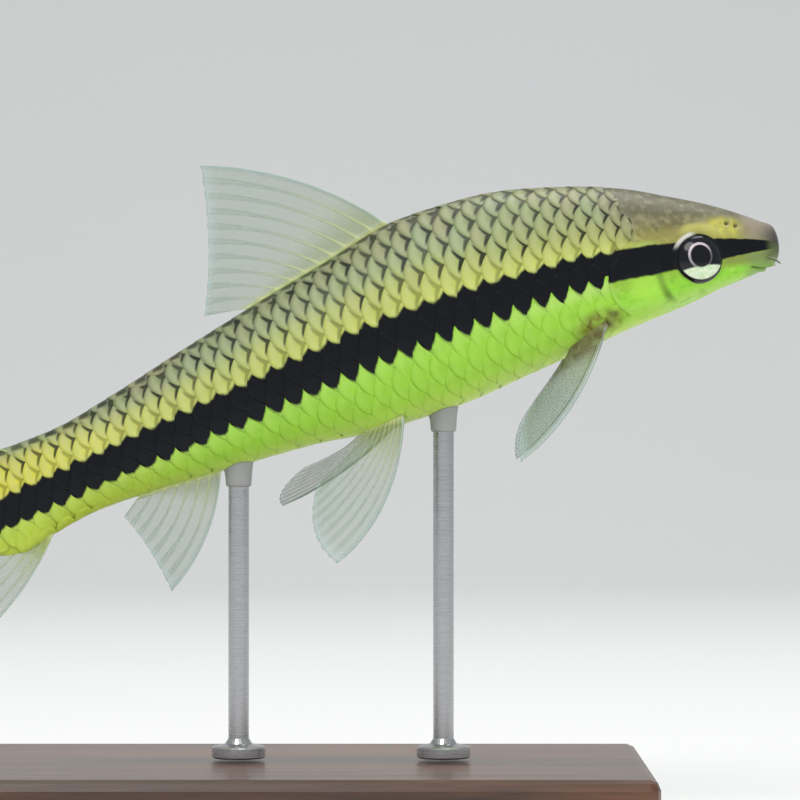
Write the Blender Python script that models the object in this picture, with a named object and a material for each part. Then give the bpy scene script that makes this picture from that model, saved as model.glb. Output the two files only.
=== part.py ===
"""Siamese algae eater: a still, life-size fish on a plain display stand.

The fish is shaped straight, in its own coordinates, and then bent into its pose:
s runs back from the tip of the snout, u to the fish's left and v to its back.
All sizes are in millimetres until the finished meshes are scaled to metres.
"""

import math

import bmesh
import bpy
import numpy as np
from mathutils import Matrix, Vector

TO_METRES = 0.001
GAP = 0.3  # between two pieces that meet
SUNK = 0.7  # how deep a root starts inside the body before it is trimmed
OUTSIDE = 15.0  # how far the blocks that part the body reach past it
SHARP_EDGE = math.radians(40.0)

# The pose: the body slopes down towards the tail, more steeply behind the head
STANDARD_LENGTH = 79.5  # from the snout to the end of the tail's muscle
SNOUT_TIP = (48.65, 56.0)  # ahead of the base's middle, and above the floor
SLOPE_AT_SNOUT = math.radians(7.0)
SLOPE_AT_TAIL = math.radians(24.5)
SLOPE_CHANGES = (-2.0, 50.0)  # the stretch over which the slope changes

# Distance behind the snout, height of back, depth of belly, half of the width
BODY_STATIONS = (
    (0.0, 0.0, 0.0, 0.0),
    (0.5, 1.85, 1.66, 1.60),
    (1.5, 2.40, 2.22, 2.10),
    (3.0, 3.17, 2.74, 2.65),
    (6.0, 4.56, 3.54, 3.55),
    (10.0, 6.09, 4.71, 4.45),
    (14.0, 7.58, 5.58, 5.05),
    (20.0, 9.12, 6.70, 5.40),
    (27.0, 10.33, 7.75, 5.80),
    (34.0, 10.58, 8.35, 5.95),
    (42.0, 9.35, 7.90, 5.65),
    (50.0, 8.35, 6.25, 4.85),
    (58.0, 7.28, 5.05, 3.90),
    (66.0, 6.12, 3.90, 2.90),
    (72.0, 5.52, 3.42, 2.15),
    (76.0, 5.72, 3.72, 1.50),
    (79.5, 6.10, 4.25, 0.95),
)
RINGS = 46
RING_CROWDING = 1.8  # rings lie closer together towards the snout
SIDES = 32
BACK_SQUARENESS = (2.35, 2.0)  # of the sections, at the snout and at the tail
BELLY_SQUARENESS = (2.6, 2.0)

# The gill opening, where the head meets the trunk, is an arc seen from the side
GILL_MIDDLE = (13.2, -2.0)  # s and v
GILL_REACH_BACK = 4.0
GILL_RISE = 9.9
GILL_DROP = 3.5
TAIL_STARTS = 57.4

# The gill cover is an oval plate let into the side of the head
COVER_MIDDLE = (14.7, -1.6)
COVER_RADII = (2.95, 4.1)
COVER_THICKNESS = 1.1
COVER_CORE = (9.0, 20.0)  # the stretch of the body that lies under the covers
THROAT_HALF_WIDTH = 1.3  # the covers stop at this strip under the throat

EYE_MIDDLE = (8.2, -0.4)
EYE_RADIUS = 2.5
EYE_HALF_DEPTH = 1.55
EYE_SUNK = 0.85  # of the eye's middle under the skin
EYE_TURNED_FORWARD = math.radians(12.0)
EYE_TURNED_UP = math.radians(5.0)

# The mouth is a crescent under the snout, with its corners turned up a little
MOUTH_FRONT = 1.35
MOUTH_CORNERS_BACK = 1.7
MOUTH_HALF_TURN = math.radians(50.0)
MOUTH_SLIT = (0.14, 0.7)  # half of its width, and its depth
LIP_RADIUS = 0.36
LIP_THINNED = 0.65  # the share of its radius that a lip loses by the corner
LIP_SET_OFF = 0.46  # of each lip from the slit
LIP_SUNK = 0.2

NOSTRILS = ((4.1, 2.25), (4.95, 2.6))  # s and v of the front and the rear one
NOSTRIL_RADIUS = 0.3
NOSTRIL_FLAP = (0.13, 0.34, 0.34)

BARBEL_POINTS = ((1.7, 1.4, -1.15), (0.9, 2.5, -1.25), (0.35, 2.95, -2.0))
BARBEL_RADII = (0.28, 0.14)
BARBEL_STEPS = 6

# Fins: half of the thickness of the membrane, at the root, along it and at its rim
FIN_HALF = 0.25
FIN_ROOT_HALF = 0.5
FIN_RIM_HALF = 0.14
FIN_RIM_STARTS = 0.85  # as a share of the way from the root to the rim
FIN_STEPS = (0.0, 0.1, 0.26, 0.48, 0.7, 0.88, 1.0)
RAY_HEIGHT = 0.17  # of a ray's crest over the membrane, on each face
RAY_FADES = 0.7  # the share of that height that is lost by the tip
RAY_FOOT = 0.24  # half of a ray's width, as a share of the way to the next ray
WEB_REACH = 0.975  # the membrane ends a little short of the tips of the rays

# Stand: a bevelled block and two turned rods that reach up to the belly
BASE_SIZE = (72.0, 42.0, 6.0)
BASE_BEVEL = 1.0
ROD_SIDES = 24
ROD_PLACES = {"stand_rod_front": 16.2, "stand_rod_rear": -3.6}
ROD_LONGEST = 60.0
# Height over the base and radius of each rod, with its turned foot
ROD_PROFILE = ((0.0, 2.45), (0.15, 2.6), (1.0, 2.6), (1.15, 2.45), (1.4, 1.3), (1.9, 1.0))

# Colour, roughness, metallic and alpha
LOOKS = {
    "skin_head": ((0.22, 0.26, 0.10), 0.35, 0.0, 1.0),
    "skin_body": ((0.25, 0.30, 0.09), 0.35, 0.0, 1.0),
    "skin_cheek": ((0.33, 0.55, 0.12), 0.3, 0.0, 1.0),
    "eye": ((0.02, 0.02, 0.03), 0.08, 0.0, 1.0),
    "barbel": ((0.20, 0.20, 0.17), 0.4, 0.0, 1.0),
    "fin": ((0.45, 0.55, 0.40), 0.3, 0.0, 0.6),
    "wood": ((0.16, 0.085, 0.045), 0.45, 0.0, 1.0),
    "steel": ((0.55, 0.55, 0.56), 0.28, 1.0, 1.0),
}


def curve_through(x, xs, ys):
    """A smooth curve through a few points that doesn't overshoot between them."""
    xs, ys, x = (np.asarray(values, dtype=float) for values in (xs, ys, x))
    steps = np.diff(xs)
    slopes = np.diff(ys) / steps
    same_way = slopes[1:] * slopes[:-1] > 0
    total = np.where(same_way, slopes[1:] + slopes[:-1], 1.0)
    inner = np.where(same_way, 2.0 * slopes[1:] * slopes[:-1] / total, 0.0)
    tangents = np.concatenate(([slopes[0]], inner, [slopes[-1]]))
    i = np.clip(np.searchsorted(xs, x) - 1, 0, len(steps) - 1)
    t = (x - xs[i]) / steps[i]
    start = ys[i] * (1 + 2 * t) * (1 - t) ** 2 + tangents[i] * steps[i] * t * (1 - t) ** 2
    end = ys[i + 1] * (3 - 2 * t) * t**2 - tangents[i + 1] * steps[i] * t**2 * (1 - t)
    return start + end


def body_sizes(s):
    """Height of the back, depth of the belly and half of the width at s."""
    stations = np.array(BODY_STATIONS)
    root = np.sqrt(np.clip(s, 0.0, STANDARD_LENGTH))
    return [float(curve_through(root, np.sqrt(stations[:, 0]), column)) for column in stations.T[1:]]


def squareness(s, ends):
    return ends[0] + (ends[1] - ends[0]) * min(s / STANDARD_LENGTH * 2.0, 1.0)


def section_point(s, angle, grow=0.0):
    """A point of the body's skin; the angle starts at the fish's left and turns to its back."""
    back, belly, half_width = body_sizes(s)
    across, up = math.cos(angle), math.sin(angle)
    power = 2.0 / squareness(s, BACK_SQUARENESS if up > 0 else BELLY_SQUARENESS)
    height = (back if up > 0 else belly) + grow
    u = (half_width + grow) * math.copysign(abs(across) ** power, across)
    v = height * math.copysign(abs(up) ** power, up)
    return Vector((s, u, v))


def flank(s, v):
    """Distance of the skin from the middle plane, at s and v."""
    back, belly, half_width = body_sizes(s)
    height, ends = (back, BACK_SQUARENESS) if v > 0 else (belly, BELLY_SQUARENESS)
    power = squareness(s, ends)
    return half_width * max(1.0 - abs(v / height) ** power, 0.0) ** (1.0 / power)


def pose_axis():
    """Places and slopes of the bent axis, as arrays over s."""
    s = np.linspace(0.0, 1.6 * STANDARD_LENGTH, 600)
    start, end = SLOPE_CHANGES
    share = np.clip((s - start) / (end - start), 0.0, 1.0)
    slope = SLOPE_AT_SNOUT + (SLOPE_AT_TAIL - SLOPE_AT_SNOUT) * share**2 * (3 - 2 * share)
    step = s[1] - s[0]
    middle = 0.5 * (slope[1:] + slope[:-1])
    x = SNOUT_TIP[0] - np.concatenate(([0.0], np.cumsum(np.cos(middle) * step)))
    z = SNOUT_TIP[1] - np.concatenate(([0.0], np.cumsum(np.sin(middle) * step)))
    return s, x, z, slope


def bend_into_pose(obj):
    s, x, z, slope = pose_axis()
    for vertex in obj.data.vertices:
        along, u, v = vertex.co
        ahead = min(along, 0.0)  # what lies ahead of the axis goes straight on
        angle = np.interp(along, s, slope)
        vertex.co = (
            np.interp(along, s, x) - ahead * math.cos(angle) - v * math.sin(angle),
            u,
            np.interp(along, s, z) - ahead * math.sin(angle) + v * math.cos(angle),
        )
    obj.data.flip_normals()  # s runs against x, which turned the faces inside out


def new_object(name, bm):
    bmesh.ops.recalc_face_normals(bm, faces=bm.faces)
    mesh = bpy.data.meshes.new(name)
    bm.to_mesh(mesh)
    bm.free()
    obj = bpy.data.objects.new(name, mesh)
    bpy.context.scene.collection.objects.link(obj)
    return obj


def discard(obj):
    bpy.data.objects.remove(obj, do_unlink=True)


def loft(name, rings):
    """A closed surface through rings of points. A ring of one point is a pole."""
    bm = bmesh.new()
    loops = [[bm.verts.new(point) for point in ring] for ring in rings]
    for near, far in zip(loops, loops[1:]):
        count = max(len(near), len(far))
        for i in range(count):
            corners = [near[i % len(near)], near[(i + 1) % len(near)]]
            corners += [far[(i + 1) % len(far)], far[i % len(far)]]
            bm.faces.new(dict.fromkeys(corners))
    for end in (loops[0], loops[-1]):
        if len(end) > 1:
            bm.faces.new(end)
    return new_object(name, bm)


def body_loft(name, grow=0.0, start=0.0, end=STANDARD_LENGTH):
    """The body without its fins, or a stretch of it, grown or shrunk all round."""
    places = [STANDARD_LENGTH * (k / RINGS) ** RING_CROWDING for k in range(1, RINGS + 1)]
    places = [start] * (start > 0) + [s for s in places if start < s < end] + [end]
    turns = [2 * math.pi * i / SIDES for i in range(SIDES)]
    rings = [[section_point(s, turn, grow) for turn in turns] for s in places]
    if start == 0:
        rings.insert(0, [Vector((-grow, 0.0, 0.0))])
    if end == STANDARD_LENGTH:
        rings[-1] = [point + Vector((grow, 0.0, 0.0)) for point in rings[-1]]
    return loft(name, rings)


def prism(name, outline, low, high):
    """A side-on outline of s and v, drawn out across the body from u = low to high."""
    return loft(name, [[(s, u, v) for s, v in outline] for u in (low, high)])


def tube(name, path, radii, ups, sides=8):
    """A bent rod with oval sections. Each point has radii (across, along up) and an up."""
    rings = []
    for i, middle in enumerate(path):
        ahead = path[min(i + 1, len(path) - 1)] - path[max(i - 1, 0)]
        across = ahead.cross(ups[i]).normalized()
        lift = across.cross(ahead).normalized()
        wide, tall = radii[i]
        turns = [2 * math.pi * k / sides for k in range(sides)]
        rings.append([middle + across * wide * math.cos(t) + lift * tall * math.sin(t) for t in turns])
    return loft(name, rings)


def spheroid(name, middle, radii, turn=Matrix(), segments=20, rings=12):
    """A sphere stretched to three radii, then turned and set at its middle."""
    bm = bmesh.new()
    bmesh.ops.create_uvsphere(bm, u_segments=segments, v_segments=rings, radius=1.0)
    place = Matrix.Translation(middle) @ turn @ Matrix.Diagonal((*radii, 1.0))
    bmesh.ops.transform(bm, matrix=place, verts=bm.verts)
    return new_object(name, bm)


def duplicate(obj, name):
    copy = bpy.data.objects.new(name, obj.data.copy())
    bpy.context.scene.collection.objects.link(copy)
    return copy


def combine(obj, tool, operation, keep_tool=False):
    """Cuts, joins or crosses an object with a tool."""
    modifier = obj.modifiers.new(operation.lower(), "BOOLEAN")
    modifier.operation = operation
    modifier.object = tool
    graph = bpy.context.evaluated_depsgraph_get()
    result = bpy.data.meshes.new_from_object(obj.evaluated_get(graph))
    obj.modifiers.clear()
    obj.data = result
    if not keep_tool:
        discard(tool)
    return obj


def keep_largest_surface(bm):
    """Drops every loose scrap that a cut leaves."""
    left = set(bm.verts)
    shells = []
    while left:
        shell, edge = set(), [left.pop()]
        while edge:
            vert = edge.pop()
            shell.add(vert)
            near = {link.other_vert(vert) for link in vert.link_edges} & left
            left -= near
            edge.extend(near)
        shells.append(shell)
    shells.sort(key=len)
    scraps = [vert for shell in shells[:-1] for vert in shell]
    bmesh.ops.delete(bm, geom=scraps, context="VERTS")


def finish_mesh(obj):
    """Leaves one closed surface of plain triangles."""
    bm = bmesh.new()
    bm.from_mesh(obj.data)
    bmesh.ops.remove_doubles(bm, verts=bm.verts, dist=0.002)
    bmesh.ops.dissolve_degenerate(bm, edges=bm.edges, dist=0.002)
    bmesh.ops.triangulate(bm, faces=bm.faces)
    keep_largest_surface(bm)
    bm.to_mesh(obj.data)
    bm.free()


def finish_fish_piece(obj):
    finish_mesh(obj)
    bend_into_pose(obj)
    return obj


def gill_arc(grow, points=24):
    """The gill opening from above the nape to below the throat, as s and v."""
    arc = [(GILL_MIDDLE[0] + grow, OUTSIDE)]
    for i in range(points + 1):
        turn = math.pi / 2 - math.pi * i / points
        height = GILL_RISE if turn > 0 else GILL_DROP
        s = GILL_MIDDLE[0] + grow + GILL_REACH_BACK * math.cos(turn)
        arc.append((s, GILL_MIDDLE[1] + height * math.sin(turn)))
    arc.append((GILL_MIDDLE[0] + grow, -OUTSIDE))
    return arc


def mouth_path(shift, sunk, points=13):
    """A crescent across the underside of the snout, from one corner to the other."""
    path = []
    for i in range(points):
        t = 2.0 * i / (points - 1) - 1.0
        s = MOUTH_FRONT + shift + MOUTH_CORNERS_BACK * t * t
        path.append(section_point(s, MOUTH_HALF_TURN * t - math.pi / 2, -sunk))
    return path


def out_of_axis(path):
    """The directions from the body's axis to each point."""
    return [Vector((0.0, point.y, point.z)).normalized() for point in path]


def lip(name, shift):
    """A soft roll along the mouth that thins towards the corners."""
    path = mouth_path(shift, LIP_SUNK)
    places = np.linspace(-1.0, 1.0, len(path))
    radii = LIP_RADIUS * (1.0 - LIP_THINNED * places**4)
    return tube(name, path, [(r, r) for r in radii], out_of_axis(path))


def mouth_slit():
    path = mouth_path(0.0, 0.0)
    return tube("slit", path, [MOUTH_SLIT] * len(path), out_of_axis(path))


def eye_turn(side):
    forward = Matrix.Rotation(side * EYE_TURNED_FORWARD, 4, "Z")
    return forward @ Matrix.Rotation(side * EYE_TURNED_UP, 4, "X")


def eyeball(name, side, grow=0.0):
    s, v = EYE_MIDDLE
    middle = Vector((s, side * (flank(s, v) - EYE_SUNK), v))
    upright = Matrix.Rotation(math.pi / 2, 4, "X")
    radii = (EYE_RADIUS + grow, EYE_RADIUS + grow, EYE_HALF_DEPTH + grow)
    return spheroid(name, middle, radii, eye_turn(side) @ upright)


def shape_face(head):
    """Lips, the slit of the mouth, nostrils and eye sockets."""
    combine(head, lip("upper_lip", -LIP_SET_OFF), "UNION")
    combine(head, lip("lower_lip", LIP_SET_OFF), "UNION")
    combine(head, mouth_slit(), "DIFFERENCE")
    for side in (1, -1):
        for s, v in NOSTRILS:
            middle = (s, side * flank(s, v), v)
            radii = [NOSTRIL_RADIUS] * 3
            combine(head, spheroid("nostril", middle, radii, segments=10, rings=6), "DIFFERENCE")
        s, v = np.mean(NOSTRILS, axis=0)
        middle = (s, side * flank(s, v), v)
        combine(head, spheroid("flap", middle, NOSTRIL_FLAP, segments=8, rings=6), "UNION")
        combine(head, eyeball("socket", side, GAP), "DIFFERENCE")


def oval(middle, radii, points=28):
    turns = [2 * math.pi * i / points for i in range(points)]
    return [(middle[0] + radii[0] * math.cos(t), middle[1] + radii[1] * math.sin(t)) for t in turns]


def cover_block(name, side, grow):
    """The room of a gill cover: an oval block outside a core of the head."""
    radii = (COVER_RADII[0] + grow, COVER_RADII[1] + grow)
    ends = sorted((side * (THROAT_HALF_WIDTH - grow), side * OUTSIDE))
    block = prism(name, oval(COVER_MIDDLE, radii), *ends)
    core = body_loft("core", -COVER_THICKNESS - grow, *COVER_CORE)
    return combine(block, core, "DIFFERENCE")


def cut_across(s):
    """A straight cut across the body, from below it to above it."""
    return [(s, -OUTSIDE), (s, OUTSIDE)]


def block_between(name, downward, upward):
    """A block that holds the body between a cut drawn downward and one drawn upward."""
    return prism(name, downward + upward, -OUTSIDE, OUTSIDE)


def fish_body():
    """Head, gill covers, trunk and tail, parted by thin cuts."""
    whole = body_loft("head")
    trunk = duplicate(whole, "trunk")
    tail = duplicate(whole, "tail")
    combine(whole, block_between("ahead", gill_arc(0.0), cut_across(-OUTSIDE)), "INTERSECT")
    combine(trunk, block_between("middle", gill_arc(GAP), cut_across(TAIL_STARTS)), "INTERSECT")
    tail_front = cut_across(TAIL_STARTS + GAP)[::-1]
    beyond_tail = cut_across(STANDARD_LENGTH + OUTSIDE)
    combine(tail, block_between("rest", tail_front, beyond_tail), "INTERSECT")
    covers = []
    for name, side in (("gill_cover_left", 1), ("gill_cover_right", -1)):
        covers.append(combine(cover_block(name, side, 0.0), whole, "INTERSECT", keep_tool=True))
    for side in (1, -1):
        combine(whole, cover_block("recess", side, GAP), "DIFFERENCE")
    shape_face(whole)
    return [whole, trunk, tail, *covers]


def fan_surface(across, along, fin):
    """A point of a fin: across from the first ray to the last, along from root to tip."""
    root = fin["front_root"].lerp(fin["rear_root"], across)
    tip = fin["front_tip"].lerp(fin["rear_tip"], across)
    tip += fin["margin"] * 4.0 * across * (1.0 - across)
    middle = 0.5 * (root + tip) + fin["front_bow"] * (1.0 - across) + fin["rear_bow"] * across
    middle += fin["cup"] * 4.0 * across * (1.0 - across)
    return root * (1 - along) ** 2 + middle * 2 * along * (1 - along) + tip * along**2


def fan_normal(across, along, fin):
    step = 0.01
    sideways = fan_surface(across + step, along, fin) - fan_surface(across - step, along, fin)
    outwards = fan_surface(across, along + step, fin) - fan_surface(across, along - step, fin)
    return sideways.cross(outwards).normalized()


def fin_half(along, raised):
    """Half of the fin's thickness: full at the root, thin at the rim, more on a ray's crest."""
    root = (FIN_ROOT_HALF - FIN_HALF) * (1.0 - along) ** 8
    towards_rim = max(along - FIN_RIM_STARTS, 0.0) / (1.0 - FIN_RIM_STARTS)
    web = FIN_HALF + root - (FIN_HALF - FIN_RIM_HALF) * towards_rim
    return web + raised * RAY_HEIGHT * (1.0 - RAY_FADES * along)


def fan_columns(rays):
    """Where points stand across a fin: on each ray's crest, and at the ray's two feet."""
    columns = []
    for i in range(rays):
        for shift, raised in ((-RAY_FOOT, 0.0), (0.0, 1.0), (RAY_FOOT, 0.0)):
            across = (i + shift) / (rays - 1)
            if 0.0 <= across <= 1.0:
                columns.append((across, raised))
    return columns


def fan(name, rays, fin):
    """A fin with its rays as ridges of the membrane, its two faces split alike."""
    bm = bmesh.new()
    faces = {}
    columns = fan_columns(rays)
    for side in (1, -1):
        for i, (across, raised) in enumerate(columns):
            reach = 1.0 if raised else WEB_REACH
            for k, step in enumerate(FIN_STEPS):
                along = step * reach
                offset = fan_normal(across, along, fin) * side * fin_half(along, raised)
                faces[side, i, k] = bm.verts.new(fan_surface(across, along, fin) + offset)
    last, end = len(columns) - 1, len(FIN_STEPS) - 1
    for side in (1, -1):
        for i in range(last):
            for k in range(end):
                a, b = faces[side, i, k], faces[side, i + 1, k]
                c, d = faces[side, i + 1, k + 1], faces[side, i, k + 1]
                bm.faces.new((a, b, c))
                bm.faces.new((a, c, d))
    rim = [(i, 0) for i in range(last)] + [(last, k) for k in range(end)]
    rim += [(i, end) for i in range(last, 0, -1)] + [(0, k) for k in range(end, 0, -1)]
    for near, far in zip(rim, rim[1:] + rim[:1]):
        a, b, c, d = faces[1, *near], faces[1, *far], faces[-1, *far], faces[-1, *near]
        bm.faces.new((a, b, c))
        bm.faces.new((a, c, d))
    return new_object(name, bm)


def fin_plan(points, side=1.0):
    """The named points of a fin as vectors, mirrored for the right side."""
    plan = {key: Vector((s, u * side, v)) for key, (s, u, v) in points.items()}
    for key in ("front_bow", "rear_bow", "cup", "margin"):
        plan.setdefault(key, Vector())
    return plan


def back_line(s):
    return body_sizes(s)[0] - SUNK


def belly_line(s):
    return SUNK - body_sizes(s)[1]


DORSAL = {
    "front_root": (34.6, 0.0, back_line(35.6)),
    "rear_root": (48.6, 0.0, back_line(48.6)),
    "front_tip": (48.6, 0.0, 22.9),
    "rear_tip": (54.3, 0.0, 9.4),
    "front_bow": (-1.6, 0.0, 2.2),
    "rear_bow": (0.0, 0.0, 0.2),
    "margin": (-0.5, 0.0, -0.3),
}
ANAL = {
    "front_root": (58.7, 0.0, belly_line(58.7)),
    "rear_root": (66.1, 0.0, belly_line(66.1)),
    "front_tip": (68.2, 0.0, -13.5),
    "rear_tip": (69.4, 0.0, -5.0),
    "front_bow": (-1.6, 0.0, -1.9),
    "margin": (-0.3, 0.0, 0.4),
}
PELVIC_NEAR = {
    "front_root": (40.5, 2.4, -7.2),
    "rear_root": (43.4, 1.3, -6.9),
    "front_tip": (52.3, 6.4, -17.5),
    "rear_tip": (51.0, 1.4, -9.9),
    "front_bow": (-2.0, 0.6, -2.9),
    "rear_bow": (0.0, 0.0, -0.3),
    "margin": (1.4, 0.2, 0.0),
}
PELVIC_FAR = {
    "front_root": (40.5, 2.4, -7.2),
    "rear_root": (43.4, 1.3, -6.9),
    "front_tip": (55.3, 7.9, -10.5),
    "rear_tip": (51.6, 2.6, -7.9),
    "front_bow": (-0.8, 0.6, -1.6),
    "rear_bow": (0.0, 0.0, -0.9),
    "margin": (1.2, 0.4, 0.1),
}
PECTORAL = {
    "front_root": (17.8, 3.4, -4.2),
    "rear_root": (20.9, 2.6, -5.5),
    "front_tip": (31.0, 8.0, -15.3),
    "rear_tip": (27.6, 2.6, -10.6),
    "front_bow": (-2.3, 1.0, -2.9),
    "rear_bow": (-0.2, 0.0, -0.3),
    "margin": (0.7, 0.0, 0.2),
}
TAIL_FIN_UPPER = {
    "front_root": (76.4, 0.0, 5.0),
    "rear_root": (79.0, 0.0, 1.0),
    "front_tip": (98.4, 0.0, 13.2),
    "rear_tip": (88.3, 0.0, 1.1 + GAP),
    "front_bow": (-3.6, 0.0, 2.4),
    "margin": (-1.6, 0.0, -0.6),
}
TAIL_FIN_LOWER = {
    "front_root": (75.9, 0.0, -3.3),
    "rear_root": (79.0, 0.0, 1.0 - GAP),
    "front_tip": (98.5, 0.0, -12.4),
    "rear_tip": (88.3, 0.0, 1.1),
    "front_bow": (-4.0, 0.0, -2.9),
    "margin": (-1.6, 0.0, 0.6),
}

# Name, points, side and number of rays
FINS = (
    ("dorsal_fin", DORSAL, 1, 11),
    ("anal_fin", ANAL, 1, 8),
    ("pelvic_fin_right", PELVIC_NEAR, -1, 9),
    ("pelvic_fin_left", PELVIC_FAR, 1, 9),
    ("pectoral_fin_right", PECTORAL, -1, 15),
    ("pectoral_fin_left", PECTORAL, 1, 15),
    ("tail_fin_upper", TAIL_FIN_UPPER, 1, 10),
    ("tail_fin_lower", TAIL_FIN_LOWER, 1, 9),
)


def barbel(name, side):
    """A tapered feeler that hangs in a soft bend from the corner of the snout."""
    root, bend, tip = (Vector((s, side * u, v)) for s, u, v in BARBEL_POINTS)
    shares = np.linspace(0.0, 1.0, BARBEL_STEPS)
    path = [root.lerp(bend, t).lerp(bend.lerp(tip, t), t) for t in shares]
    radii = [np.interp(t, (0.0, 1.0), BARBEL_RADII) for t in shares]
    return tube(name, path, [(r, r) for r in radii], [Vector((1, 0, 0))] * BARBEL_STEPS)


def fish_fins(near_body):
    """Fins and barbels, each trimmed to stop just short of the body."""
    pieces = [fan(name, rays, fin_plan(points, side)) for name, points, side, rays in FINS]
    pieces += [barbel("barbel_left", 1), barbel("barbel_right", -1)]
    for piece in pieces:
        combine(piece, near_body, "DIFFERENCE", keep_tool=True)
    return pieces


def stand_base():
    bm = bmesh.new()
    bmesh.ops.create_cube(bm, size=1.0)
    bmesh.ops.scale(bm, vec=BASE_SIZE, verts=bm.verts)
    bmesh.ops.translate(bm, vec=(0.0, 0.0, BASE_SIZE[2] / 2), verts=bm.verts)
    bmesh.ops.bevel(bm, geom=bm.edges, offset=BASE_BEVEL, segments=2, affect="EDGES", profile=0.5)
    return new_object("stand_base", bm)


def stand_rod(name, x, near_body):
    """A rod with a turned foot, cut off just under the belly."""
    foot = BASE_SIZE[2] + GAP
    profile = ROD_PROFILE + ((ROD_LONGEST, ROD_PROFILE[-1][1]),)
    turns = [2 * math.pi * i / ROD_SIDES for i in range(ROD_SIDES)]
    rings = [[(x + r * math.cos(t), r * math.sin(t), foot + h) for t in turns] for h, r in profile]
    rod = combine(loft(name, rings), near_body, "DIFFERENCE", keep_tool=True)
    keep_below(rod, (BASE_SIZE[2] + ROD_LONGEST) / 2)
    return rod


def keep_below(obj, height):
    """Drops the length of rod that the belly cuts off above itself."""
    bm = bmesh.new()
    bm.from_mesh(obj.data)
    feet = [vert for vert in bm.verts if vert.co.z < height]
    kept = set()
    while feet:
        vert = feet.pop()
        if vert not in kept:
            kept.add(vert)
            feet.extend(link.other_vert(vert) for link in vert.link_edges)
    loose = [vert for vert in bm.verts if vert not in kept]
    bmesh.ops.delete(bm, geom=loose, context="VERTS")
    bm.to_mesh(obj.data)
    bm.free()


def material(slot):
    colour, roughness, metallic, alpha = LOOKS[slot]
    made = bpy.data.materials.get(slot) or bpy.data.materials.new(slot)
    made.use_nodes = True
    shader = made.node_tree.nodes["Principled BSDF"]
    shader.inputs["Base Color"].default_value = (*colour, 1.0)
    shader.inputs["Roughness"].default_value = roughness
    shader.inputs["Metallic"].default_value = metallic
    shader.inputs["Alpha"].default_value = alpha
    return made


def slot_of(name):
    """The material of a node, from the first words of its name."""
    slots = {
        "head": "skin_head",
        "trunk": "skin_body",
        "tail": "skin_body",
        "gill": "skin_cheek",
        "eye": "eye",
        "barbel": "barbel",
        "stand_base": "wood",
        "stand_rod": "steel",
    }
    if "fin" in name.split("_"):
        return "fin"
    return next(slot for start, slot in slots.items() if name.startswith(start))


def hand_over(obj, holder, collection):
    """Scales a finished piece to metres, with its origin at its own middle."""
    corners = np.array([vertex.co for vertex in obj.data.vertices])
    middle = Vector((corners.min(axis=0) + corners.max(axis=0)) / 2)
    obj.data.transform(Matrix.Translation(-middle))
    obj.data.transform(Matrix.Scale(TO_METRES, 4))
    obj.location = middle * TO_METRES
    obj.parent = holder
    obj.data.materials.clear()
    obj.data.materials.append(material(slot_of(obj.name)))
    obj.data.shade_smooth()
    obj.data.set_sharp_from_angle(angle=SHARP_EDGE)
    bpy.context.scene.collection.objects.unlink(obj)
    collection.objects.link(obj)


def main():
    for obj in list(bpy.data.objects):
        bpy.data.objects.remove(obj, do_unlink=True)
    collection = bpy.data.collections.new("siamese_algae_eater")
    bpy.context.scene.collection.children.link(collection)
    holders = {}
    for name in ("fish", "display_stand"):
        holders[name] = bpy.data.objects.new(name, None)
        collection.objects.link(holders[name])

    near_body = body_loft("near_body", GAP)
    fish = fish_body() + fish_fins(near_body)
    fish += [eyeball("eye_left", 1), eyeball("eye_right", -1)]
    fish = [finish_fish_piece(piece) for piece in fish]

    bend_into_pose(near_body)
    stand = [stand_rod(name, x, near_body) for name, x in ROD_PLACES.items()]
    stand.append(stand_base())
    discard(near_body)
    for piece in stand:
        finish_mesh(piece)

    for piece in fish:
        hand_over(piece, holders["fish"], collection)
    for piece in stand:
        hand_over(piece, holders["display_stand"], collection)


main()
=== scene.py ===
"""Looks of the siamese algae eater: skin, scales, fins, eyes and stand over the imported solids.

The fish is shaped straight and then bent into its pose, as its solids are:
s runs back from the tip of the snout, u to the fish's left and v to its back.
The shapes are worked out in millimetres, and a finished mesh is scaled to metres.
"""

import math
from types import SimpleNamespace

import bpy
import numpy as np
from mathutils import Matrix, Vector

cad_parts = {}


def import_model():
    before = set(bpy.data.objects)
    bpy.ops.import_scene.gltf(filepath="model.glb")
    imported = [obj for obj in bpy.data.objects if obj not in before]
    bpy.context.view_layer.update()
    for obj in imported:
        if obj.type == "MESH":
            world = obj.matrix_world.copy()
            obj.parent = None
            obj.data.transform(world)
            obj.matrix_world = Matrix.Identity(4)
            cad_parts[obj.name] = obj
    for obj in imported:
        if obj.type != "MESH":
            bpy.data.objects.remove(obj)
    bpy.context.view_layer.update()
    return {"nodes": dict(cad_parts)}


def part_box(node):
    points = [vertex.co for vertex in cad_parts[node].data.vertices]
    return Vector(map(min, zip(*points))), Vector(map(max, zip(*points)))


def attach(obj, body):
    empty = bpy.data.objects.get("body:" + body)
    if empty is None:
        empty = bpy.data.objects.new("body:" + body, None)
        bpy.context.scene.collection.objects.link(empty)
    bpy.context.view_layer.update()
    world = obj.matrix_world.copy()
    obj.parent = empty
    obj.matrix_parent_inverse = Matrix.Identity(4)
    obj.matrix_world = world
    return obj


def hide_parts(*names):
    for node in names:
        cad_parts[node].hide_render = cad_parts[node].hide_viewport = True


TO_METRES = 0.001
BAKE_MAP = "OFBake"
MAP_MARGIN = 0.02

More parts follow.
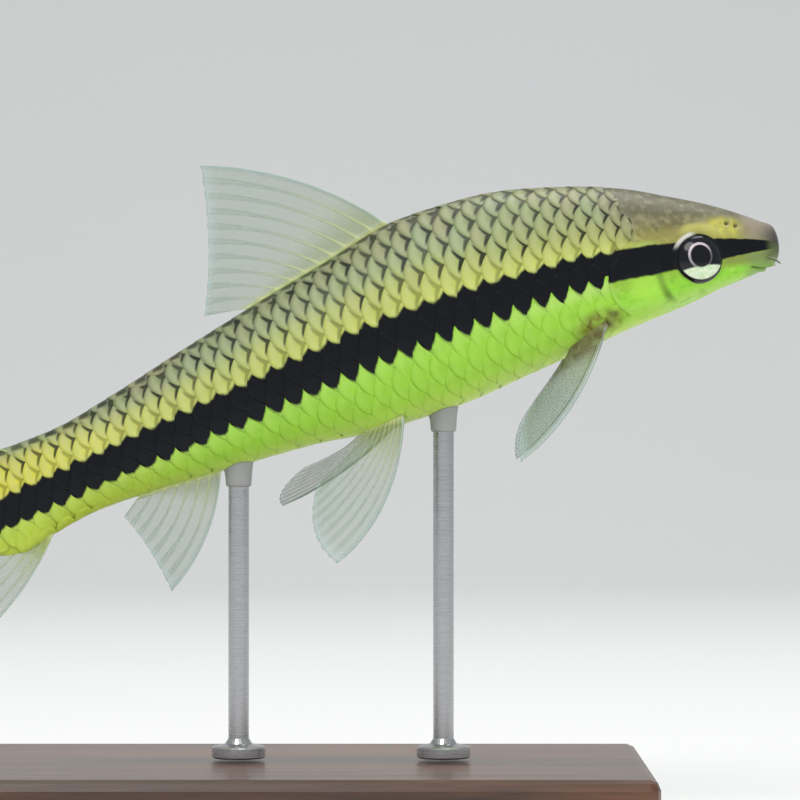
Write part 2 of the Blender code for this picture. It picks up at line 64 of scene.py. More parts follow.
# The pose, and the body's stations: place, back, belly and half of the width, as in the solids
STANDARD_LENGTH = 79.5
SNOUT_TIP = (48.65, 56.0)
SLOPE_AT_SNOUT = math.radians(7.0)
SLOPE_AT_TAIL = math.radians(24.5)
SLOPE_CHANGES = (-2.0, 50.0)
BODY_STATIONS = (
    (0.0, 0.0, 0.0, 0.0),
    (0.5, 1.85, 1.66, 1.60),
    (1.5, 2.40, 2.22, 2.10),
    (3.0, 3.17, 2.74, 2.65),
    (6.0, 4.56, 3.54, 3.55),
    (10.0, 6.09, 4.71, 4.45),
    (14.0, 7.58, 5.58, 5.05),
    (20.0, 9.12, 6.70, 5.40),
    (27.0, 10.33, 7.75, 5.80),
    (34.0, 10.58, 8.35, 5.95),
    (42.0, 9.35, 7.90, 5.65),
    (50.0, 8.35, 6.25, 4.85),
    (58.0, 7.28, 5.05, 3.90),
    (66.0, 6.12, 3.90, 2.90),
    (72.0, 5.52, 3.42, 2.15),
    (76.0, 5.72, 3.72, 1.50),
    (79.5, 6.10, 4.25, 0.95),
)
TAIL_BASE_LENGTH = 5.0
TAIL_BASE_LIFT = 0.95
BACK_SQUARENESS = (2.35, 2.0)
BELLY_SQUARENESS = (2.6, 2.0)

# Skin: each stretch from one place to another with a number of rings
SKIN_SIDES = 240
SKIN_STRETCHES = ((0.03, 3.0, 44), (3.0, 18.0, 140), (18.0, 79.5, 150), (79.5, 84.4, 18))
SKIN_END = 84.45
SKIN_UNDER_SCALES = 0.17
SKIN_BARE = 0.03
SKIN_OWN_X = 0.7  # the place on a scale that bare skin is coloured as

# Gill cover: an ellipse seen from the side. The scales start behind it and behind the nape
COVER_MIDDLE = (13.2, -1.8)
COVER_RADII = (4.0, 3.7)
COVER_MEAN_RADIUS = 3.8
COVER_INSIDE_RIM = (3.7, 3.4)
NAPE = (13.0, 2.5)
NAPE_SLANT = 0.34
NAPE_WAVE = 0.22
NAPE_WAVE_RATE = 2.6
BREAST = 16.8

# Head
EYE_MIDDLE = (8.2, -0.4)
EYE_RADIUS = 2.5
EYE_HALF_DEPTH = 1.55
EYE_SUNK = 0.85
EYE_TURNED_FORWARD = math.radians(12.0)
EYE_TURNED_UP = math.radians(5.0)
EYE_OPENING = 2.12
EYE_INSIDE_SOLID = 0.02  # how much smaller the eyeball is than its solid
EYE_GRID = (42, 96)
EYE_FOLDS = ((0.17, 0.13, 0.1), (0.5, 0.16, -0.05))  # distance outside the opening, width, height
PREOPERCLE_MIDDLE = (7.0, -1.0)
PREOPERCLE_RADIUS = 5.3
MOUTH_FRONT = 1.35
MOUTH_CORNERS_BACK = 1.7
MOUTH_HALF_TURN = math.radians(50.0)
MOUTH_SLIT = (0.5, 0.11)  # depth and width
LIP = (0.17, 0.24)  # height and width
LIP_SET_OFF = 0.46
NOSTRILS = ((4.1, 2.25), (4.95, 2.6))
NOSTRIL = (0.32, 0.24)  # depth and width
BARBEL_POINTS = ((1.7, 1.4, -1.15), (0.9, 2.5, -1.25), (0.35, 2.95, -2.0))
BARBEL_RADII = (0.21, 0.07)
BARBEL_GRID = (26, 18)

# The dark stripe is two rows of scales deep: place, its middle, and half of its depth
STRIPE = (
    (0.0, 0.0, 0.3), (0.5, -0.04, 0.34), (3.0, 0.08, 0.66), (6.0, 0.18, 1.0), (10.0, 0.11, 1.25),
    (13.0, 0.14, 1.4), (16.0, 0.22, 1.45), (20.0, 0.24, 1.52), (24.0, 0.04, 1.62), (28.0, 0.0, 1.8),
    (32.0, 0.02, 1.92), (44.0, 0.1, 1.9), (52.0, 0.03, 1.82), (60.0, 0.05, 1.68), (66.0, 0.1, 1.56),
    (72.0, 0.12, 1.5), (80.0, 0.1, 1.45),
)
STRIPE_PLACES, STRIPE_MIDDLES, ROW_PITCHES = zip(*STRIPE)
ROWS = range(-9, 10)
COLUMN_PLACES = (0, 13, 20, 28, 50, 66, 80)
COLUMN_PITCHES = (1.5, 1.5, 1.85, 1.98, 1.96, 1.86, 1.7)
FIRST_COLUMN = 12.0
LAST_SCALE = 83.0
MIDLINE_DRIFT = 0.12
SCALE_MAP_LENGTH = LAST_SCALE + 2.0 - FIRST_COLUMN
PATCH_SHARE = 0.8

# One scale, in shares of the pitch along the body (1 at its tip) and of the row pitch across
PLATE_STEPS = 8
PLATE_COLUMNS = 15
PLATE_FRONT = -0.3
PLATE_REACH = 0.97
PLATE_POINTEDNESS = 1.9
PLATE_RAMP = 0.038
PLATE_THICKNESS = 0.045
PLATE_TIP_DEPTH = 0.022
PLATE_EDGE_DROP = 0.018
PLATE_TILT = 0.004
PLATE_SIZE_VARIES = 0.04
SCALE_SEED = 7

# Fins: half of the thickness of the membrane and root, and what rays and beads add to it
RAY_COLUMNS = 20
FIN_ROWS = 60
FIN_ROOT_DEPTH = 0.7
WEB_HALF = 0.045
FIN_ROOT_HALF = 0.42
RAY_HALF = 0.085
LEADING_HALF = 0.09
BEAD_HALF = 0.12
RAY_WIDTH = 0.1
RAY_FORKS = ((0.125, 0.28), (0.062, 0.55))  # how far branches part, and from where on
MARGIN_SCALLOP = 0.005
MARGIN_FRAY = 0.0015
FIN_KEYS = ("front_root", "rear_root", "front_tip", "rear_tip", "front_bow", "rear_bow", "margin")
FIN_MAP = (0.47, 0.98)
FIN_MAP_CORNERS = ((0.01, 0.01), (0.51, 0.01))

# Cups on the rods: radius, and drop under the belly, which is level from one drop on
CUP_SIDES = 64
CUP_PROFILE = (
    (1.2, -0.1), (1.4, -0.03), (1.42, 0.14), (1.34, 0.5), (1.27, 1.3), (1.24, 1.9), (1.16, 2.05), (1.02, 2.1),
)
CUP_LEVEL_FROM = 1.3
UNDERSIDE = ((15.0, 70.0, 900), (-2.3, -0.85, 90))  # places and angles where a cup may touch

# Stage, in metres: a floor with a wall that it sweeps up to behind the model
FLOOR_HALF_WIDTH = 2.0
FLOOR_FRONT = -1.2
SWEEP_START = 0.5
SWEEP_RADIUS = 0.35
SWEEP_STEPS = 16
WALL_TOP = 2.0
SKY = (0.92, 0.96, 1.0, 1.0)
SKY_STRENGTH = 0.55
LIGHTS_AIM = (0.0, 0.0, 0.045)
LIGHTS = (  # name, place, width, power, colour, and whether it shows in reflections
    ("key", (-0.12, -0.38, 0.5), 0.34, 1.5, (1.0, 0.98, 0.95), True),
    ("fill", (0.4, -0.5, 0.12), 0.5, 0.9, (1.0, 1.0, 1.0), False),
    ("top", (0.05, 0.12, 0.6), 0.4, 2.2, (1.0, 1.0, 1.0), True),
)

# Camera: the photo shows 77.4 mm across the fish's middle plane, from 0.4 m away
VIEW_DISTANCE = 0.4
VIEW_WIDTH = 0.07736
VIEW_MIDDLE = (0.0120, 0.0409)  # X and Z
SENSOR = 36.0

# Colours in screen bytes
STRIPE_COLOUR = (5, 8, 16)
DARK_MARK = (28, 36, 22)
FLANK_COLOURS = (  # from the midline of the belly at -1 to that of the back at 1
    # belly stops: their lime and brightness are partly painted green reflection and painted light from below
    (-1.0, (208, 226, 130)),
    (-0.8, (184, 222, 92)),
    (-0.5, (158, 214, 66)),
    (-0.12, (150, 208, 60)),
    (0.12, (184, 198, 98)),
    (0.35, (154, 166, 100)),
    (0.6, (134, 144, 108)),
    (0.82, (112, 116, 86)),
    (1.0, (76, 78, 54)),
)
HEAD_COLOURS = (  # from the throat to the crown, 0 at the middle of the side
    (-2.0, (200, 216, 140)),
    (-1.35, (174, 216, 100)),
    (-0.85, (150, 216, 62)),
    (-0.42, (146, 188, 62)),
    (0.42, (150, 150, 80)),
    (0.78, (142, 138, 82)),
    (1.08, (124, 120, 84)),
    (1.4, (108, 106, 84)),
    (2.4, (84, 84, 64)),
)


def curve_through(x, xs, ys):
    """A smooth curve through a few points that doesn't overshoot between them."""
    xs, ys, x = (np.asarray(values, dtype=float) for values in (xs, ys, x))
    steps = np.diff(xs)
    slopes = np.diff(ys) / steps
    same_way = slopes[1:] * slopes[:-1] > 0
    total = np.where(same_way, slopes[1:] + slopes[:-1], 1.0)
    inner = np.where(same_way, 2.0 * slopes[1:] * slopes[:-1] / total, 0.0)
    tangents = np.concatenate(([slopes[0]], inner, [slopes[-1]]))
    i = np.clip(np.searchsorted(xs, x) - 1, 0, len(steps) - 1)
    t = np.clip((x - xs[i]) / steps[i], 0.0, 1.0)
    start = ys[i] * (1 + 2 * t) * (1 - t) ** 2 + tangents[i] * steps[i] * t * (1 - t) ** 2
    end = ys[i + 1] * (3 - 2 * t) * t**2 - tangents[i + 1] * steps[i] * t**2 * (1 - t)
    return start + end


def ease(value, low, high):
    """0 below low, 1 above high and smooth between; falls where low is the larger."""
    t = np.clip((value - low) / (high - low), 0.0, 1.0)
    return t * t * (3.0 - 2.0 * t)


def bump(distance, width):
    return np.exp(-((distance / width) ** 2))


def apart(s, v, point):
    """Distance from a point on the side of the fish."""
    return np.hypot(s - point[0], v - point[1])


def vec(*values):
    return np.array(values, dtype=float)


def joined(*parts):
    """Grids of numbers side by side, along an axis of their own."""
    return np.stack(np.broadcast_arrays(*parts), axis=-1)


def stacked(*parts):
    """Three grids of numbers as one row of three for each point."""
    return joined(*parts).reshape(-1, 3)


def once_round(count):
    return np.linspace(0.0, 2 * math.pi, count, endpoint=False)


def body_sizes(s):
    """Back, belly and half of the width of the body over s."""
    places, *sizes = np.transpose(BODY_STATIONS)
    root = np.sqrt(np.clip(s, 0.0, STANDARD_LENGTH))
    return [curve_through(root, np.sqrt(places), size) for size in sizes]


def tail_base(s):
    """How much is left of the body's height and width behind the end of its spine."""
    share = np.clip((s - STANDARD_LENGTH) / TAIL_BASE_LENGTH, 0.0, 0.999)
    return np.sqrt(1.0 - share**2), (1.0 - share) ** 0.9


def body_point(s, angle):
    """Points of the solids' surface. The angle starts at the fish's left and turns to its back."""
    s, angle = np.broadcast_arrays(np.asarray(s, float), np.asarray(angle, float))
    back, belly, half_width = body_sizes(s)
    tall, thick = tail_base(s)
    across, up = np.cos(angle), np.sin(angle)
    share = np.minimum(2.0 * np.clip(s, 0.0, None) / STANDARD_LENGTH, 1.0)
    above = up > 0
    first = np.where(above, BACK_SQUARENESS[0], BELLY_SQUARENESS[0])
    last = np.where(above, BACK_SQUARENESS[1], BELLY_SQUARENESS[1])
    power = 2.0 / (first + (last - first) * share)
    u = thick * half_width * np.sign(across) * np.abs(across) ** power
    v = tall * np.where(above, back, belly) * np.sign(up) * np.abs(up) ** power
    return joined(s, u, v + TAIL_BASE_LIFT * (1.0 - tall))


def unit(vectors):
    return vectors / np.maximum(np.linalg.norm(vectors, axis=-1, keepdims=True), 1e-9)


def outward(s, angle):
    step = 0.002
    along = body_point(s + step, angle) - body_point(np.maximum(s - step, 0.001), angle)
    around = body_point(s, angle + step) - body_point(s, angle - step)
    return unit(np.cross(around, along))


def pose_axis():
    """Places and slopes of the bent axis, over s."""
    s = np.linspace(0.0, 1.6 * STANDARD_LENGTH, 600)
    slope = SLOPE_AT_SNOUT + (SLOPE_AT_TAIL - SLOPE_AT_SNOUT) * ease(s, *SLOPE_CHANGES)
    step = s[1] - s[0]
    middle = 0.5 * (slope[1:] + slope[:-1])
    x = SNOUT_TIP[0] - np.concatenate(([0.0], np.cumsum(np.cos(middle) * step)))
    z = SNOUT_TIP[1] - np.concatenate(([0.0], np.cumsum(np.sin(middle) * step)))
    return s, x, z, slope


def bent(points):
    """Straight body coordinates in millimetres to places in the world in metres."""
    s, x, z, slope = pose_axis()
    along, u, v = np.moveaxis(points, -1, 0)
    ahead = np.minimum(along, 0.0)
    angle = np.interp(along, s, slope)
    placed_x = np.interp(along, s, x) - ahead * np.cos(angle) - v * np.sin(angle)
    placed_z = np.interp(along, s, z) - ahead * np.sin(angle) + v * np.cos(angle)
    return joined(placed_x, u, placed_z) * TO_METRES


PLACES = np.linspace(0.0, SKIN_END, 341)
TURNS = np.linspace(0.0, math.pi / 2, 200)
ARC_SHARES = np.linspace(0.0, 1.0, 121)


def arcs_towards(sign):
    """The arc from the middle of the side to each angle above or below it, for each place."""
    points = body_point(PLACES[:, None], sign * TURNS[None, :])
    steps = np.linalg.norm(np.diff(points, axis=1), axis=-1)
    return np.concatenate((np.zeros((len(PLACES), 1)), np.cumsum(steps, axis=1)), axis=1)


def turns_by_share(arcs):
    """The angle at each share of the whole arc, for each place along the body."""
    rows = [np.interp(ARC_SHARES, row / max(row[-1], 1e-9), TURNS) for row in arcs]
    return np.array(rows)


ARCS = [arcs_towards(sign) for sign in (1.0, -1.0)]
TURNS_AT = [turns_by_share(arcs) for arcs in ARCS]


def looked_up(tables, s, share):
    """Values of both tables at a place along the body and a share of their columns."""
    row = np.clip(s / (PLACES[1] - PLACES[0]), 0.0, len(PLACES) - 1.001)
    column = share * (tables[0].shape[1] - 1.001)
    i, j = row.astype(int), column.astype(int)
    a, b = row - i, column - j
    found = []
    for table in tables:
        near = table[i, j] * (1 - b) + table[i, j + 1] * b
        far = table[i + 1, j] * (1 - b) + table[i + 1, j + 1] * b
        found.append(near * (1 - a) + far * a)
    return found


def arc_to_midline(s, side_up):
    """Arc from the middle of the side to the midline of the back, or of the belly."""
    up, down = (np.interp(s, PLACES, arcs[:, -1]) for arcs in ARCS)
    return np.where(side_up, up, down)


def angle_at(s, w):
    """The angle at the signed arc w above the middle of the side, also past a midline."""
    share = np.abs(w) / np.maximum(arc_to_midline(s, w > 0), 1e-6)
    over = share > 1.0
    share = np.clip(np.where(over, 2.0 - share, share), 0.0, 1.0)
    above, below = looked_up(TURNS_AT, s, share)
    turn = np.where(w > 0, above, below)
    turn = np.where(over, math.pi - turn, turn)
    return np.where(w > 0, turn, -turn)


def arc_of(s, angle):
    """The signed arc above the middle of the side, for angles of either side."""
    turn = np.arcsin(np.clip(np.sin(angle), -1.0, 1.0))
    above, below = looked_up(ARCS, s, np.abs(turn) / (math.pi / 2))
    return np.where(turn > 0, above, -below)


def row_pitch(s):
    return curve_through(s, STRIPE_PLACES, ROW_PITCHES)


def stripe_middle(s):
    return curve_through(s, STRIPE_PLACES, STRIPE_MIDDLES)


def row_of(s, w):
    """Rows of scales above the middle of the stripe, which reaches from -1 to 1."""
    return (w - stripe_middle(s)) / row_pitch(s)


def cover_distance(s, v):
    """Roughly the distance outside the edge of the gill cover."""
    share = np.hypot((s - COVER_MIDDLE[0]) / COVER_RADII[0], (v - COVER_MIDDLE[1]) / COVER_RADII[1])
    return (share - 1.0) * COVER_MEAN_RADIUS


def behind_head(s, v):
    """Distance behind the nape, the edge of the gill cover and the throat, negative on the head."""
    nape = s - NAPE[0] - NAPE_SLANT * (v - NAPE[1]) - NAPE_WAVE * np.sin(NAPE_WAVE_RATE * v)
    throat = s - BREAST + 5.0 * ease(v, -5.0, -4.2)
    return np.minimum(np.minimum(nape, cover_distance(s, v)), throat)


def mouth_relief(s, angle):
    """Two lips with the slit of the mouth between them."""
    turn = (angle + math.pi / 2 + math.pi) % (2 * math.pi) - math.pi
    t = turn / MOUTH_HALF_TURN
    along = s - MOUTH_FRONT - MOUTH_CORNERS_BACK * t * t
    lips = LIP[0] * (bump(along + LIP_SET_OFF, LIP[1]) + bump(along - LIP_SET_OFF, LIP[1]))
    near_mouth = ease(np.abs(t), 1.12, 0.85)
    return near_mouth * (lips - MOUTH_SLIT[0] * bump(along, MOUTH_SLIT[1]))


def nostril_relief(s, v):
    """Two pits with a low flap between them."""
    pits = sum(bump(apart(s, v, place), NOSTRIL[1]) for place in NOSTRILS)
    flap = np.mean(NOSTRILS, axis=0)
    return 0.2 * bump(s - flap[0], 0.12) * bump(v - flap[1], 0.34) - NOSTRIL[0] * pits


def eye_relief(s, v):
    """A hollow for the eyeball, folds round it and a low brow."""
    r = apart(s, v, EYE_MIDDLE)
    relief = -0.3 * ease(r, 2.05, 1.5)
    for off, width, height in EYE_FOLDS:
        relief += height * bump(r - EYE_OPENING - off, width)
    return relief + 0.08 * bump(r - EYE_OPENING - 0.95, 0.4) * ease(v, 0.0, 2.2)


def face_relief(s, angle, point):
    """How far the skin of the head stands out of, or into, the solids' surface."""
    u, v = np.abs(point[..., 1]), point[..., 2]
    fold = apart(s, v, PREOPERCLE_MIDDLE) - PREOPERCLE_RADIUS
    beside = ease(s, 8.6, 10.0) * ease(v, 0.8, -0.2) * ease(v, -5.3, -4.2)
    cheek = beside * (0.05 * bump(fold + 0.35, 0.3) - 0.07 * bump(fold - 0.1, 0.2))
    throat = bump(u - 1.35, 0.14) * ease(s, 6.0, 8.0) * ease(s, 13.5, 12.5) * (v < 0)
    return mouth_relief(s, angle) + nostril_relief(s, v) + eye_relief(s, v) + cheek - 0.16 * throat


def skin_depth(s, v):
    """How deep the skin lies under the solids' surface, with the step at the gill cover."""
    behind = behind_head(s, v)
    at_cover = ease(v, -5.6, -4.8) * ease(v, 1.7, 0.4)
    soft = ease(behind, 0.0, 1.5)
    crisp = ease(behind, -0.06, 0.1)
    share = soft + (crisp - soft) * at_cover
    groove = at_cover * bump(behind - 0.22, 0.16)
    return SKIN_BARE + (SKIN_UNDER_SCALES - SKIN_BARE) * share + 0.12 * groove


def grid_faces(rows, columns, closed):
    """Quads over a grid of points, and each corner's place on it from 0 to 1."""
    around = columns if closed else columns - 1
    i, j = (part.ravel() for part in np.meshgrid(np.arange(rows - 1), np.arange(around), indexing="ij"))
    corners = ((i, j), (i, j + 1), (i + 1, j + 1), (i + 1, j))
    faces = joined(*(row * columns + column % columns for row, column in corners))
    places = np.stack([joined(row / (rows - 1), column / around) for row, column in corners], axis=1)
    return faces, places


def sheet_faces(rows, columns):
    """Quads of a thin sheet (top, underside, rim), the top's places, and the points along the rim."""
    top, places = grid_faces(rows, columns, closed=False)
    count = rows * columns
    ids = np.arange(count).reshape(rows, columns)
    loop = np.concatenate((ids[0, :-1], ids[:-1, -1], ids[-1, :0:-1], ids[:0:-1, 0]))
    after = np.roll(loop, -1)
    rim = joined(loop, loop + count, after + count, after)
    faces = np.concatenate((top, top[:, ::-1] + count, rim))
    return faces, places, joined(loop, loop, after, after)


def put_in_scene(name, data, place=(0.0, 0.0, 0.0), turn=(0.0, 0.0, 0.0)):
    obj = bpy.data.objects.new(name, data)
    bpy.context.scene.collection.objects.link(obj)
    obj.location = place
    obj.rotation_euler = turn
    return obj


def make_object(name, points, faces, attributes, corner_places=None):
    """A smooth mesh in the world, with named values on its points and a map for baking."""
    mesh = bpy.data.meshes.new(name)
    mesh.from_pydata(points, [], [tuple(face) for face in faces])
    for key, values in attributes.items():
        layer = mesh.attributes.new(key, "FLOAT_VECTOR", "POINT")
        layer.data.foreach_set("vector", np.asarray(values, np.float32).ravel())
    if corner_places is not None:
        layer = mesh.uv_layers.new(name=BAKE_MAP)
        layer.data.foreach_set("uv", np.asarray(corner_places, np.float32).ravel())
    mesh.shade_smooth()
    return put_in_scene(name, mesh)


def dress(obj, material, replaced=()):
    """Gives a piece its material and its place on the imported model."""
    obj.data.materials.clear()
    obj.data.materials.append(material)
    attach(obj, "root")
    if replaced:
        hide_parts(*replaced)


def fans(rings, sides):
    """Triangles from both ends of a round grid to two more points, one beyond each end."""
    k = np.arange(sides)
    after, last, tip = (k + 1) % sides, (rings - 1) * sides, rings * sides
    return np.concatenate((joined(after, k, tip), joined(k + last, after + last, tip + 1)))


def cap_places():
    """Where the triangles at both ends of the skin lie on the map: in its margins."""
    k = np.arange(SKIN_SIDES)
    turn = joined(k + 0.5, k, k + 1) / SKIN_SIDES
    margin = vec(0.0, MAP_MARGIN, MAP_MARGIN)
    return np.concatenate((joined(margin, turn), joined(1.0 - margin, turn[:, (0, 2, 1)]))).reshape(-1, 2)


def make_skin():
    """One skin from the snout to the root of the tail fin."""
    places = [np.linspace(start, end, rings, endpoint=False) for start, end, rings in SKIN_STRETCHES]
    places = np.concatenate(places + [[SKIN_END]])
    s, angle = np.meshgrid(places, once_round(SKIN_SIDES), indexing="ij")
    surface = body_point(s, angle)
    v = surface[..., 2]
    relief = face_relief(s, angle, surface) * ease(s, 18.0, 16.0)
    points = surface + outward(s, angle) * (relief - skin_depth(s, v))[..., None]
    arc = arc_of(s, angle)
    rows = row_of(s, arc)
    share = np.clip(arc / np.maximum(arc_to_midline(s, arc > 0), 1e-6), -1.0, 1.0)
    ends = {
        "point": ((SKIN_BARE, 0.0, 0.0), (SKIN_END + 0.05, 0.0, TAIL_BASE_LIFT)),
        "place": ((0.0, 0.0, 0.0), (SKIN_END, 0.0, 1.0)),
        "own": ((SKIN_OWN_X, 0.0, 0.0), (SKIN_OWN_X, 0.0, 0.0)),
        "chance": ((0.0, 0.0, 0.0), (0.0, 0.0, 0.0)),
    }
    layers = {
        "point": points.reshape(-1, 3),
        "place": stacked(s, rows, v),
        "own": stacked(SKIN_OWN_X, 0.0, rows),
        "chance": stacked(0.0, 0.0, share),
    }
    layers = {key: np.concatenate((values, ends[key])) for key, values in layers.items()}
    flat = layers.pop("point")
    faces, corners = grid_faces(len(places), SKIN_SIDES, closed=True)
    everything = [*faces[:, ::-1], *fans(len(places), SKIN_SIDES)[:, ::-1]]
    unwrapped = corners[:, ::-1].reshape(-1, 2) * (1.0 - 2 * MAP_MARGIN, 1.0) + (MAP_MARGIN, 0.0)
    corner_places = np.concatenate((unwrapped, cap_places()))
    return make_object("fish_skin", bent(flat), everything, layers, corner_places)


def pitch_along(s):
    return curve_through(s, COLUMN_PLACES, COLUMN_PITCHES)


def scale_columns():
    """The tips of successive scales along one row."""
    tips = [FIRST_COLUMN]
    while tips[-1] < LAST_SCALE + 3.0:
        tips.append(tips[-1] + pitch_along(tips[-1]))
    return np.array(tips)


def side_scales(tips):
    """Tip, middle arc, pitches, row and kind of each scale of one side, row by row."""
    column, found = np.arange(len(tips)), []
    for row in ROWS:
        s = np.interp(column[1:-1] + 0.5 * (row % 2), column, tips)
        across = row_pitch(s)
        w = stripe_middle(s) + across * (row + 0.5)
        fits = (s <= LAST_SCALE) & (arc_to_midline(s, w > 0) - np.abs(w) >= 0.5 * across)
        found.append(joined(s, w, pitch_along(s), across, row + 0.5, 0.0)[fits])
    return np.concatenate(found)


def midline_scales(tips, up):
    """The scales along the back or the belly, drawn towards the gaps between their neighbours."""
    found, column, s = [], 1.0, tips[1]
    while s <= STANDARD_LENGTH:
        across = row_pitch(s)
        edge = math.copysign(arc_to_midline(s, up), up - 0.5)
        row = math.floor((edge - stripe_middle(s)) / across)
        found.append((s, edge, pitch_along(s), across, row + 0.5, 1.0))
        off = (column - 0.5 * (row % 2) + 0.5) % 1.0 - 0.5
        column += 1.0 - min(max(off, -MIDLINE_DRIFT), MIDLINE_DRIFT)
        s = np.interp(column, np.arange(len(tips)), tips)
    return np.array(found)


def scale_places():
    """The scales of one side and of both midlines that lie behind the head."""
    tips = scale_columns()
    places = np.concatenate((side_scales(tips), midline_scales(tips, True), midline_scales(tips, False)))
    s, w, along = places.T[:3]
    v = body_point(s - 0.6 * along, angle_at(s, w))[:, 2]
    return places[behind_head(s - 0.55 * along, v) >= 0.0]


def plate_template():
    """Shares along and across of the points of one scale, and of the way from its front to its rear."""
    y = np.linspace(-PLATE_REACH, PLATE_REACH, PLATE_COLUMNS)
    rear = 1.0 - 0.5 * np.abs(y) ** PLATE_POINTEDNESS
    front = PLATE_FRONT * (1.0 - y**2)
    q = np.linspace(0.0, 1.0, PLATE_STEPS)[:, None] ** 0.8
    x = front + (rear - front) * q
    return [part.ravel() for part in np.broadcast_arrays(x, y, q)]


def patches(places, x, y):
    """Where each scale lies on the map for baking: a patch of its own at its root's place."""
    columns = (places[:, 0] - FIRST_COLUMN) / SCALE_MAP_LENGTH
    beside = places[places[:, 5] == 0, 4]
    lowest, highest = beside.min() - 1.0, beside.max() + 1.0
    level = np.where(places[:, 5] == 0, places[:, 4], np.where(places[:, 1] > 0, highest, lowest))
    rows = (level - lowest + 0.5) / (highest - lowest + 1.0)
    wide = PATCH_SHARE * places[:, 2] / SCALE_MAP_LENGTH
    tall = PATCH_SHARE / (highest - lowest + 1.0)
    along = PATCH_SHARE * (x - PLATE_FRONT) / (1.0 - PLATE_FRONT) - 0.65
    u = columns[:, None] + wide[:, None] * along
    v = rows[:, None] + 0.5 * tall * y
    return joined(MAP_MARGIN + (1.0 - 2 * MAP_MARGIN) * u, v)


def make_scales(name, places, side):
    """Many overlapping scales of one side as one mesh."""
    x, y, q = plate_template()
    tip, middle, along, across, row, on_midline = (places[:, k][:, None] for k in range(6))
    jitter = np.random.default_rng(SCALE_SEED).uniform(-1.0, 1.0, (len(places), 4))
    tilt, size, chance, other = (jitter[:, k][:, None] for k in range(4))
    size = 1.0 + PLATE_SIZE_VARIES * size
    s = tip + (x - 1.0) * along * size
    w = middle + y * across * size
    reach = arc_to_midline(s, middle > 0)
    over = np.maximum(np.abs(w) - reach, 0.0) * (1.0 - on_midline)
    angle = angle_at(s, w)
    surface, normal = body_point(s, angle), outward(s, angle)
    v = surface[..., 2]
    ramp = PLATE_RAMP * (1.0 - 0.4 * on_midline) * (1.0 - 0.45 * (row < -2.0))
    height = -PLATE_TIP_DEPTH - ramp * (1.0 - x) * along - PLATE_EDGE_DROP * (q > 0.99)
    height = height + PLATE_TILT * tilt * y * across - 0.25 * over + (0.05 - 0.08 * y**2) * on_midline
    height = height - 0.22 * ease(behind_head(s, v), 0.5, -0.3)
    normal = np.where(np.isfinite(normal), normal, 0.0)
    top = surface + normal * height[..., None]
    under = surface + normal * (height - PLATE_THICKNESS)[..., None]
    points = np.concatenate((top, under), axis=1)
    points[..., 1] *= side
    faces, _, _ = sheet_faces(PLATE_STEPS, PLATE_COLUMNS)
    starts = np.arange(len(places))[:, None, None] * points.shape[1]
    everything = (faces + starts).reshape(-1, 4)
    if side < 0:
        everything = everything[:, ::-1]
    layers = {
        "place": (s, row_of(s, np.abs(w) * np.sign(middle)), v),
        "own": (x, y, row),
        "chance": (chance, other, np.clip(w / reach, -1.0, 1.0)),
    }
    attributes = {key: np.tile(joined(*parts), (1, 2, 1)) for key, parts in layers.items()}
    corner_places = np.tile(patches(places, x, y), (1, 2, 1)).reshape(-1, 2)[everything[:, ::-1]]
    return make_object(name, bent(points.reshape(-1, 3)), everything[:, ::-1], attributes, corner_places)


def tube_faces(rings, sides):
    """Quads round a tube and one face over each end, with their corners' places on the map."""
    quads, places = grid_faces(rings, sides, closed=True)
    first = tuple(range(sides))
    last = tuple(range((rings - 1) * sides, rings * sides))
    corner_places = np.concatenate((places.reshape(-1, 2), [(0.5, 0.5)] * (2 * sides)))
    return [*quads, first[::-1], last], corner_places


def bowed(start, middle, end, t):
    """Points along a curve that leaves its start towards the middle point."""
    return start * (1 - t) ** 2 + middle * 2 * t * (1 - t) + end * t**2


def back_line(s):
    return float(body_sizes(s)[0]) - FIN_ROOT_DEPTH


def belly_line(s):
    return FIN_ROOT_DEPTH - float(body_sizes(s)[1])


